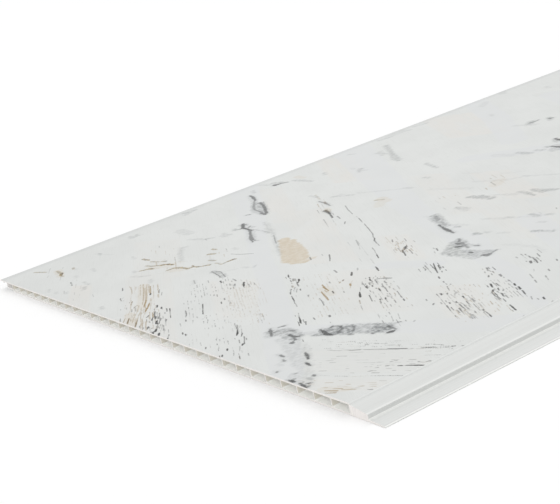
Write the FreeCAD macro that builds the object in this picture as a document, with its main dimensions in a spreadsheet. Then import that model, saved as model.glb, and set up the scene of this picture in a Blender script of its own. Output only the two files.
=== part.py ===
"""Hollow tongue-and-groove wall panel, extruded in one piece from rigid PVC.

The panel lies flat: X runs along its length, Y across its width and Z up through its thickness,
with the printed face on top. The section is drawn from the outer edge of the nailing flange at
Y = 0 to the groove side at the far edge, and the panel is then centred on the origin.
"""
import FreeCAD, Part
import math
import os
import Sketcher

# Driving dimensions, in millimetres: name, value and what it measures.
SIZES = [
    ("panel_length", 2600.0, "length of the panel as sold"),
    ("face_width", 375.0, "printed face, edge to edge"),
    ("thickness", 5.0, "whole thickness"),
    ("skin", 0.7, "thickness of the face skin and of the back skin"),
    ("web", 0.5, "thickness of a web between two cells"),
    ("side_wall", 0.7, "wall beside the tongue and wall behind the groove"),
    ("full_cells", 30, "number of cells of full height"),
    ("cell_round", 0.3, "radius in the corners of a cell"),
    ("edge_round", 1.0, "radius of the face's edge above the tongue"),
    ("near_cell_round", 0.6, "radius in the near cell's corner under the face's edge"),
    ("flange_reach", 20.0, "nailing flange, from the face's edge to its outer edge"),
    ("flange_thick", 1.0, "thickness of the nailing flange beside the tongue"),
    ("flange_tip", 0.4, "thickness of the nailing flange at its outer edge"),
    ("flange_round", 0.2, "radius of the flange's outer upper edge"),
    ("tongue_reach", 10.5, "tongue, from the face's edge to its nose"),
    ("nose_height", 2.9, "height of the tongue's nose above the back"),
    ("nose_round", 0.4, "radius of the upper edge of the tongue's nose"),
    ("lip_thick", 0.5, "thickness of the lip that covers the next panel's tongue"),
    ("lip_clear", 0.1, "play of the tongue's root under the lip"),
    ("lip_round", 0.4, "radius of the lip's outer edge"),
    ("bead_inset", 5.5, "bead, from the face's edge to its middle"),
    ("bead_clear", 0.15, "play of the tongue under the bead"),
    ("tongue_clear", 0.5, "play of the tongue's nose in the groove"),
    ("recess_skin", 0.6, "floor of the low cell over the recess for the next flange"),
    ("recess_clear", 0.1, "play of the next panel's flange under that floor"),
    ("flange_clear", 0.5, "play of the next panel's flange in its recess"),
]

NODE = "pvc_wall_panel"

# Heights through the section and places across it, as expressions of the sheet's cells.
CEILING = "(sizes.thickness - sizes.skin)"
RECESS_TOP = "(sizes.flange_thick + sizes.recess_clear)"
LOW_FLOOR = "(%s + sizes.recess_skin)" % RECESS_TOP
LIP_UNDER = "(sizes.thickness - sizes.lip_thick)"
TONGUE_ROOT = "(%s - sizes.lip_clear)" % LIP_UNDER
SLOPE = "((%s - sizes.nose_height) / sizes.tongue_reach)" % TONGUE_ROOT
BEAD_HEIGHT = "(sizes.lip_clear + sizes.bead_inset * %s - sizes.bead_clear)" % SLOPE
NEAR_EDGE = "sizes.flange_reach"
NOSE = "(sizes.flange_reach - sizes.tongue_reach)"
CELLS_START = "(sizes.flange_reach + sizes.side_wall)"
FAR_EDGE = "(sizes.flange_reach + sizes.face_width)"
GROOVE_BACK = "(%s - sizes.tongue_reach - sizes.tongue_clear)" % FAR_EDGE
RECESS_END = "(%s - sizes.flange_reach - sizes.flange_clear)" % FAR_EDGE
PITCH = "((%s - %s) / sizes.full_cells)" % (RECESS_END, CELLS_START)
CELL_WIDTH = "(%s - sizes.web)" % PITCH

# Two edges this close together count as the same place.
SAME_PLACE = 0.01

doc = FreeCAD.newDocument("wall_panel")

sheet = doc.addObject("Spreadsheet::Sheet", "sizes")
for row, (alias, value, meaning) in enumerate(SIZES, start=1):
    sheet.set("A%d" % row, meaning)
    sheet.set("B%d" % row, str(value))
    sheet.setAlias("B%d" % row, alias)
doc.recompute()

body = doc.addObject("PartDesign::Body", NODE)
body.Label = NODE


def value_of(expression):
    """Work out an expression of the sheet's cells as a plain number."""
    return float(sheet.evalExpression(expression))


def section_sketch(name):
    """Start a sketch on the plane of the section, whose axes are the panel's Y and Z."""
    sketch = body.newObject("Sketcher::SketchObject", name)
    plane = [feature for feature in body.Origin.OriginFeatures if feature.Role == "YZ_Plane"][0]
    sketch.AttachmentSupport = [(plane, "")]
    sketch.MapMode = "FlatFace"
    return sketch


def bind(sketch, constraint, expression):
    """Add a constraint whose size follows an expression of the sheet's cells."""
    index = sketch.addConstraint(constraint)
    sketch.setExpression("Constraints[%d]" % index, expression)


def pin(sketch, axis, geometry, point, expression):
    """Hold a point of the sketch at its distance from the origin along one axis."""
    place = Sketcher.Constraint("Distance" + axis, -1, 1, geometry, point, value_of(expression))
    bind(sketch, place, expression)


def draw_rectangle(name, left, right, low, high):
    """Sketch a rectangle with square corners between four expressions."""
    sketch = section_sketch(name)
    y0, y1, z0, z1 = [value_of(side) for side in (left, right, low, high)]
    corners = [FreeCAD.Vector(y, z, 0) for y, z in ((y0, z0), (y1, z0), (y1, z1), (y0, z1))]
    for start, end in zip(corners, corners[1:] + corners[:1]):
        sketch.addGeometry(Part.LineSegment(start, end), False)
    for side in range(4):
        sketch.addConstraint(Sketcher.Constraint("Coincident", side, 2, (side + 1) % 4, 1))
    for side, direction in enumerate(("Horizontal", "Vertical", "Horizontal", "Vertical")):
        sketch.addConstraint(Sketcher.Constraint(direction, side))
    pin(sketch, "X", 0, 1, left)
    pin(sketch, "Y", 0, 1, low)
    pin(sketch, "X", 2, 1, right)
    pin(sketch, "Y", 2, 1, high)
    return sketch


def draw_wedge(name, left, right, left_top, right_top):
    """Sketch a shape with a flat bottom on the back, upright sides and a sloping top."""
    sketch = section_sketch(name)
    places = [(left, "0"), (right, "0"), (right, right_top), (left, left_top)]
    corners = [FreeCAD.Vector(value_of(across), value_of(up), 0) for across, up in places]
    for start, end in zip(corners, corners[1:] + corners[:1]):
        sketch.addGeometry(Part.LineSegment(start, end), False)
    for side in range(4):
        sketch.addConstraint(Sketcher.Constraint("Coincident", side, 2, (side + 1) % 4, 1))
    for side, (across, up) in enumerate(places):
        pin(sketch, "X", side, 1, across)
        pin(sketch, "Y", side, 1, up)
    return sketch


def draw_cell(name, left, right, low, high, radii):
    """Sketch a cell between four expressions, with rounded corners.

    The radii, expressions too, run round from the lower left corner to the upper left one.
    """
    sketch = section_sketch(name)
    y0, y1, z0, z1 = [value_of(side) for side in (left, right, low, high)]
    corners = [(y0, z0, 1, 1), (y1, z0, -1, 1), (y1, z1, -1, -1), (y0, z1, 1, -1)]
    for quarter, ((y, z, inward_y, inward_z), radius) in enumerate(zip(corners, radii)):
        size = value_of(radius)
        centre = FreeCAD.Vector(y + inward_y * size, z + inward_z * size, 0)
        circle = Part.Circle(centre, FreeCAD.Vector(0, 0, 1), size)
        start = math.pi + quarter * math.pi / 2
        sketch.addGeometry(Part.ArcOfCircle(circle, start, start + math.pi / 2), False)
    for arc in range(4):
        tail = sketch.getPoint(arc, 2)
        head = sketch.getPoint((arc + 1) % 4, 1)
        sketch.addGeometry(Part.LineSegment(tail, head), False)
    for arc in range(4):
        line = arc + 4
        sketch.addConstraint(Sketcher.Constraint("Tangent", arc, 2, line, 1))
        sketch.addConstraint(Sketcher.Constraint("Tangent", line, 2, (arc + 1) % 4, 1))
        radius = Sketcher.Constraint("Radius", arc, value_of(radii[arc]))
        bind(sketch, radius, radii[arc])
    for line, direction in enumerate(("Horizontal", "Vertical", "Horizontal", "Vertical"), start=4):
        sketch.addConstraint(Sketcher.Constraint(direction, line))
    pin(sketch, "Y", 4, 1, low)
    pin(sketch, "X", 5, 1, right)
    pin(sketch, "Y", 6, 1, high)
    pin(sketch, "X", 7, 1, left)
    return sketch


def draw_half_disc(name, middle, level, radius):
    """Sketch the lower half of a disc whose flat side lies at a level."""
    sketch = section_sketch(name)
    centre = FreeCAD.Vector(value_of(middle), value_of(level), 0)
    circle = Part.Circle(centre, FreeCAD.Vector(0, 0, 1), value_of(radius))
    sketch.addGeometry(Part.ArcOfCircle(circle, math.pi, 2 * math.pi), False)
    flat = Part.LineSegment(sketch.getPoint(0, 2), sketch.getPoint(0, 1))
    sketch.addGeometry(flat, False)
    sketch.addConstraint(Sketcher.Constraint("Coincident", 0, 2, 1, 1))
    sketch.addConstraint(Sketcher.Constraint("Coincident", 1, 2, 0, 1))
    sketch.addConstraint(Sketcher.Constraint("Horizontal", 1))
    sketch.addConstraint(Sketcher.Constraint("PointOnObject", 0, 3, 1))
    bind(sketch, Sketcher.Constraint("Radius", 0, value_of(radius)), radius)
    pin(sketch, "X", 0, 3, middle)
    pin(sketch, "Y", 0, 3, level)
    return sketch


def extrude(name, sketch):
    """Push a sketch of the section out along the whole panel."""
    pad = body.newObject("PartDesign::Pad", name)
    pad.Profile = sketch
    pad.Type = "Length"
    pad.setExpression("Length", "sizes.panel_length")
    doc.recompute()
    return pad


def cut_through(name, sketch):
    """Cut a sketch of the section out along the whole panel, and prove that it took material."""
    before = body.Shape.Volume
    pocket = body.newObject("PartDesign::Pocket", name)
    pocket.Profile = sketch
    pocket.Type = "Length"
    pocket.Reversed = True
    pocket.setExpression("Length", "sizes.panel_length")
    doc.recompute()
    if body.Shape.Volume >= before:
        raise RuntimeError("%s cuts nothing" % name)
    return pocket


def round_edges(name, radius, places):
    """Round the long edges that lie at the given places across and through the section."""
    base = body.Tip
    targets = [(value_of(across), value_of(up)) for across, up in places]
    names = []
    for number, edge in enumerate(base.Shape.Edges, start=1):
        middle = edge.CenterOfMass
        lengthwise = edge.BoundBox.XLength > edge.BoundBox.YLength + edge.BoundBox.ZLength
        near = [math.dist((middle.y, middle.z), target) < SAME_PLACE for target in targets]
        if lengthwise and any(near):
            names.append("Edge%d" % number)
    fillet = body.newObject("PartDesign::Fillet", name)
    fillet.Base = (base, names)
    fillet.setExpression("Radius", radius)
    doc.recompute()
    if len(names) != len(places):
        raise RuntimeError("%s finds %d edges" % (name, len(names)))


def make_outer_form():
    """Make the slab with its thin nailing flange and its sloping tongue beside the flange."""
    overlap = "sizes.side_wall / 2"
    inside = "(%s + %s)" % (NEAR_EDGE, overlap)
    root = "(%s + %s * %s)" % (TONGUE_ROOT, overlap, SLOPE)
    extrude("slab", draw_rectangle("slab_section", NEAR_EDGE, FAR_EDGE, "0", "sizes.thickness"))
    round_edges("face_edge_rounding", "sizes.edge_round", [(NEAR_EDGE, "sizes.thickness")])
    round_edges("lip_rounding", "sizes.lip_round", [(FAR_EDGE, "sizes.thickness")])
    extrude("tongue", draw_wedge("tongue_section", NOSE, inside, "sizes.nose_height", root))
    round_edges("nose_rounding", "sizes.nose_round", [(NOSE, "sizes.nose_height")])
    under_nose = "(%s + %s)" % (NOSE, overlap)
    flange = draw_wedge("flange_section", "0", under_nose, "sizes.flange_tip", "sizes.flange_thick")
    extrude("nailing_flange", flange)
    round_edges("flange_rounding", "sizes.flange_round", [("0", "sizes.flange_tip")])


def cut_groove():
    """Cut the groove that takes the next tongue, and the recess that clears the next flange."""
    bead_middle = "(%s - sizes.bead_inset)" % FAR_EDGE
    groove = draw_rectangle("groove_section", GROOVE_BACK, FAR_EDGE, "0", LIP_UNDER)
    cut_through("groove", groove)
    recess = draw_rectangle("recess_section", RECESS_END, FAR_EDGE, "0", RECESS_TOP)
    cut_through("flange_recess", recess)
    extrude("lip_bead", draw_half_disc("bead_section", bead_middle, LIP_UNDER, BEAD_HEIGHT))


def cut_cells():
    """Hollow the slab: one low cell over the recess, and the row of cells of full height."""
    small = "sizes.cell_round"
    floor = "sizes.skin"
    low_right = "(%s - sizes.side_wall)" % GROOVE_BACK
    low_cell = draw_cell("low_cell_section", RECESS_END, low_right, LOW_FLOOR, CEILING, [small] * 4)
    cut_through("low_cell", low_cell)
    near_right = "(%s + %s)" % (CELLS_START, CELL_WIDTH)
    near_radii = [small, small, small, "sizes.near_cell_round"]
    near_cell = draw_cell(
        "near_cell_section", CELLS_START, near_right, floor, CEILING, near_radii)
    cut_through("near_cell", near_cell)
    left = "(%s + %s)" % (CELLS_START, PITCH)
    right = "(%s + %s + %s)" % (CELLS_START, PITCH, CELL_WIDTH)
    cell = draw_cell("cell_section", left, right, floor, CEILING, [small] * 4)
    first = cut_through("cell", cell)
    row = body.newObject("PartDesign::LinearPattern", "cell_row")
    row.Originals = [first]
    row.Direction = (cell, ["H_Axis"])
    row.Mode = "Spacing"
    row.setExpression("Offset", PITCH)
    row.setExpression("Occurrences", "sizes.full_cells - 1")
    body.Tip = row
    doc.recompute()


def centre_panel():
    """Put the origin at the middle of the underside."""
    body.setExpression("Placement.Base.x", "-sizes.panel_length / 2")
    body.setExpression("Placement.Base.y", "-(sizes.flange_reach + sizes.face_width) / 2")
    doc.recompute()


def check_document():
    """Stop if a feature failed or if the panel isn't one sound solid."""
    for thing in doc.Objects:
        if "Invalid" in thing.State or "Error" in thing.State:
            raise RuntimeError("%s failed: %s" % (thing.Name, thing.State))
    shape = body.Shape
    if shape.isNull() or not shape.isValid() or len(shape.Solids) != 1:
        raise RuntimeError("%s isn't one valid solid" % body.Label)


make_outer_form()
cut_groove()
cut_cells()
centre_panel()
check_document()

os.makedirs("parts", exist_ok=True)
body.Shape.exportStep("parts/%s.step" % body.Label)
print(body.Label, "volume", round(body.Shape.Volume), "faces", len(body.Shape.Faces))
print("box", body.Shape.BoundBox)
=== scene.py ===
"""Dresses the pvc wall panel for its picture: the extruded section at full detail, the printed face and the
stage.

All sizes inside the functions are millimetres. The length runs along x from the cut end in view, s runs
across the width from the flange's outer edge, and z is the height above the back.
"""

import math
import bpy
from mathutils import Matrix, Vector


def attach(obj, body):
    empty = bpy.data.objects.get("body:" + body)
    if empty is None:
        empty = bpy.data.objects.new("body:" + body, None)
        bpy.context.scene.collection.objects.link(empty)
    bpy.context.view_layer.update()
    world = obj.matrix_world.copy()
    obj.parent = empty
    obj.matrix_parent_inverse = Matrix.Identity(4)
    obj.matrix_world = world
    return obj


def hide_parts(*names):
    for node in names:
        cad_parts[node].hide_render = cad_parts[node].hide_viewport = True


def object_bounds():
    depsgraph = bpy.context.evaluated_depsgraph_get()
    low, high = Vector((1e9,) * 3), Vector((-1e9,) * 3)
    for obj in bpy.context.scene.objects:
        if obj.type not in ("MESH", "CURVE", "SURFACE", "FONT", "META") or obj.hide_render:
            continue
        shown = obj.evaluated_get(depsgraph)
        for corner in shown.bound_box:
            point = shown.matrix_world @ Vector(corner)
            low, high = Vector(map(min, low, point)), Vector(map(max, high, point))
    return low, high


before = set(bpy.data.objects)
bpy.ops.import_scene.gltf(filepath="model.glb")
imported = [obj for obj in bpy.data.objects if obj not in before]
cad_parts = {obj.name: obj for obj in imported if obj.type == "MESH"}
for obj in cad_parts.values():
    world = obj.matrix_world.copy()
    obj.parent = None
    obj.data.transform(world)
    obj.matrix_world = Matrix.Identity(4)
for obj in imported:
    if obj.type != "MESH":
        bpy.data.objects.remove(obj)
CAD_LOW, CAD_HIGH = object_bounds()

import types

import bmesh
import bpy
import numpy as np
from mathutils import Matrix

bl_info = {
    "name": "PVC wall panel",
    "version": (1, 0, 0),
    "blender": (4, 5, 0),
    "location": "3D View > Sidebar > Wall panel",
    "description": "Builds a hollow PVC wall panel with a printed face",
    "category": "Object",
}

# A millimetre in metres, and the panel's sizes from the box of the solid.
MM = 0.001
LENGTH = (CAD_HIGH.x - CAD_LOW.x) / MM
WIDTH = (CAD_HIGH.y - CAD_LOW.y) / MM
THICK = (CAD_HIGH.z - CAD_LOW.z) / MM

# The angle between the planks of the print and the length.
GRAIN = math.radians(64.0)

# The strength of the sky's light, and of the painted glow that the cells' walls give off in place of the
# light that comes through the skins.
SKY = 0.62
CELL_GLOW = 0.05


def light(red, green, blue):
    """The three linear values of a colour that is written as 0 to 255 on a screen."""
    shown = np.array([red, green, blue]) / 255.0
    low = shown / 12.92
    high = ((shown + 0.055) / 1.055) ** 2.4
    return tuple(float(v) for v in np.where(shown <= 0.04045, low, high))


# The section

def rounded(points, radii, steps=4):
    """A chain of straight lines with an arc at each inner corner.

    At a corner P with unit directions a and b to its neighbours and the angle w between them, the arc of
    radius r touches the lines r / tan(w / 2) from P, and its centre is r / sin(w / 2) away along a + b.
    """
    points = np.asarray(points, float)
    radii = np.asarray(radii, float)[:, None]
    corner = points[1:-1]
    to_last = points[:-2] - corner
    to_next = points[2:] - corner
    to_last /= np.linalg.norm(to_last, axis=1, keepdims=True)
    to_next /= np.linalg.norm(to_next, axis=1, keepdims=True)
    half = 0.5 * np.arccos(np.clip((to_last * to_next).sum(1, keepdims=True), -1, 1))
    middle = to_last + to_next
    middle /= np.linalg.norm(middle, axis=1, keepdims=True)
    centre = corner + middle * radii / np.sin(half)
    first = corner + to_last * radii / np.tan(half) - centre
    last = corner + to_next * radii / np.tan(half) - centre
    share = np.linspace(0, 1, steps + 1)[None, :, None]
    arc = first[:, None] * (1 - share) + last[:, None] * share
    arc *= radii[:, None] / np.linalg.norm(arc, axis=2, keepdims=True)
    arcs = (centre[:, None] + arc).reshape(-1, 2)
    return np.vstack([points[:1], arcs, points[-1:]])


def face_arc(centre, radius, start, end, count):
    """Points on a circle that touches the face from below, from one angle to another."""
    turn = np.linspace(start, end, count)
    return np.stack([centre + radius * np.cos(turn), THICK - radius + radius * np.sin(turn)], 1)


def near_rounding(sizes):
    """The upper edge over the tongue, from the tongue's root up to the face: a quarter of a circle that the
    tongue's sloping top cuts short. The height where they meet is found by trying again from the last one."""
    radius = sizes.edge_round
    slope = (sizes.tongue_root - sizes.nose_height) / sizes.tongue_reach
    height = sizes.tongue_root
    for attempt in range(6):
        rise = height - THICK + radius
        height = sizes.tongue_root + slope * (radius - math.sqrt(radius * radius - rise * rise))
    start = math.pi - math.asin((height - THICK + radius) / radius)
    return face_arc(sizes.flange_reach + radius, radius, start, math.pi / 2, 10)


def far_rounding(sizes):
    """The upper edge over the groove, a quarter of a circle from the face down."""
    return face_arc(WIDTH - sizes.lip_round, sizes.lip_round, math.pi / 2, 0, 6)


def outer_chain(sizes):
    """The section's outline from the tongue's root, round the tongue, the flange, the back and the space
    under the lip, to the lip. It runs against the clock when seen from the far end, so its right side is
    outside. Each corner has its s, its z and the radius that the die leaves on it."""
    root = near_rounding(sizes)[0]
    lip = far_rounding(sizes)[-1]
    nose = sizes.flange_reach - sizes.tongue_reach
    bead = WIDTH - sizes.bead_inset
    half = sizes.bead_height
    under = THICK - sizes.lip_thick
    almost_half = half - 0.02
    chain = np.array([
        (root[0], root[1], 0),
        (nose, sizes.nose_height, 0.4),
        (nose, sizes.flange_thick, 0.15),
        (0, sizes.flange_tip, 0.2),
        (0, 0, 0.1),
        (sizes.recess_start, 0, 0.12),
        (sizes.recess_start, sizes.recess_top, 0.15),
        (sizes.groove_back, sizes.recess_top, 0.12),
        (sizes.groove_back, under, 0.2),
        (bead - half, under, 0.1),
        (bead - half, under - half, almost_half),
        (bead + half, under - half, almost_half),
        (bead + half, under, 0.05),
        (WIDTH, under, 0.1),
        (lip[0], lip[1], 0),
    ])
    return rounded(chain[:, :2], chain[1:-1, 2])


def cell_loops(sizes):
    """The hollow cells, each a rounded rectangle run with the clock, so that its right side is the hollow:
    those of full height, and a low one over the recess."""
    starts = sizes.cells_start + sizes.pitch * np.arange(sizes.full_cells)
    width = sizes.pitch - sizes.web
    ceiling = THICK - sizes.skin
    boxes = [(start, start + width, sizes.skin) for start in starts]
    boxes.append((sizes.recess_start, sizes.groove_back - sizes.side_wall, sizes.low_floor))
    loops = []
    for low, high, floor in boxes:
        first = sizes.cell_round if loops else sizes.near_cell_round
        middle = 0.5 * (low + high)
        start = (middle, floor)
        path = [start, (low, floor), (low, ceiling), (high, ceiling), (high, floor), start]
        loop = rounded(path, [sizes.cell_round, first, sizes.cell_round, sizes.cell_round])
        loops.append(loop[:-1])
    return loops


def enclosed(loop):
    """The area inside a loop, positive where it runs against the clock: half the sum of the cross products of
    neighbouring points."""
    after = np.roll(loop, -1, axis=0)
    return 0.5 * float((loop[:, 0] * after[:, 1] - after[:, 0] * loop[:, 1]).sum())


# Meshes

def place(x, s, z):
    """Millimetres on the panel to metres in the frame."""
    return np.stack([(x - LENGTH / 2) * MM, (s - WIDTH / 2) * MM, z * MM], -1)


def carried(chain, stations, closed):
    """A profile carried straight along the length: the point at (i, j) is the profile's point j at station i.

    Each face goes from one profile point to the next and then along the length, so it looks to the right
    of the profile's direction.
    """
    across = len(chain)
    points = place(np.repeat(stations, across), np.tile(chain[:, 0], len(stations)),
                   np.tile(chain[:, 1], len(stations)))
    j = np.arange(across if closed else across - 1)
    i = np.arange(len(stations) - 1)[:, None]
    after = (j + 1) % across
    quads = np.stack([i * across + j, i * across + after, (i + 1) * across + after, (i + 1) * across + j], -1)
    return points, quads.reshape(-1, 4)


def joined(pieces):
    """Several sets of points and faces as one."""
    points = []
    faces = []
    count = 0
    for some, quads in pieces:
        points.append(some)
        faces.append(quads + count)
        count += len(some)
    return np.vstack(points), np.vstack(faces)


def in_scene(name, data):
    """A new object of this data in the scene, at the origin."""
    made = bpy.data.objects.new(name, data)
    bpy.context.scene.collection.objects.link(made)
    return made


def new_mesh(name, points, quads, smooth_angle=30.0):
    """An object of these faces, with smooth shading broken at the corners."""
    mesh = bpy.data.meshes.new(name)
    mesh.from_pydata(points.tolist(), [], quads.tolist())
    mesh.update()
    mesh.shade_smooth()
    mesh.set_sharp_from_angle(angle=math.radians(smooth_angle))
    return in_scene(name, mesh)


def finished(piece, material):
    """Gives a piece its material and puts it on the panel."""
    piece.data.materials.append(material)
    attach(piece, "root")
    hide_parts("pvc_wall_panel")


# The print

# The length of the roller's repeat along the panel, and where the repeats start that reach the panel.
REPEAT = 650.0
SHIFTS = REPEAT * np.arange(-1, 5)

# The face's width, and how far along the panel the photograph shows its near edge and its far edge.
FACE = 375.0
SEEN_NEAR = 105.0
SEEN_FAR = 480.0

# Each row below is a path of tapered lines, read in the photograph: its depth and for a dash its share
# of gold, then its places as x, y and half width. A band has no depth of its own.

# Smooth stone bands between the planks.
BANDS = [
    ((-8, 30, 6), (8, 55, 7), (25, 86, 8), (42, 117, 8), (70, 167, 6), (90, 208, 6), (117, 258, 6),
     (140, 300, 9), (178, 374, 10)),
    ((33, 92, 5.5), (56, 46, 5.5), (66, 25, 8), (86, -10, 9)),
    ((98, 2, 3), (122, 46, 5), (128, 66, 5), (146, 100, 8), (160, 146, 6), (186, 206, 9), (214, 262, 12),
     (268, 372, 14)),
    ((118, 92, 4), (106, 122, 5)),
    ((262, 236, 8), (300, 176, 9)),
    ((300, 236, 9), (344, 300, 9), (386, 372, 9)),
]

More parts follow.
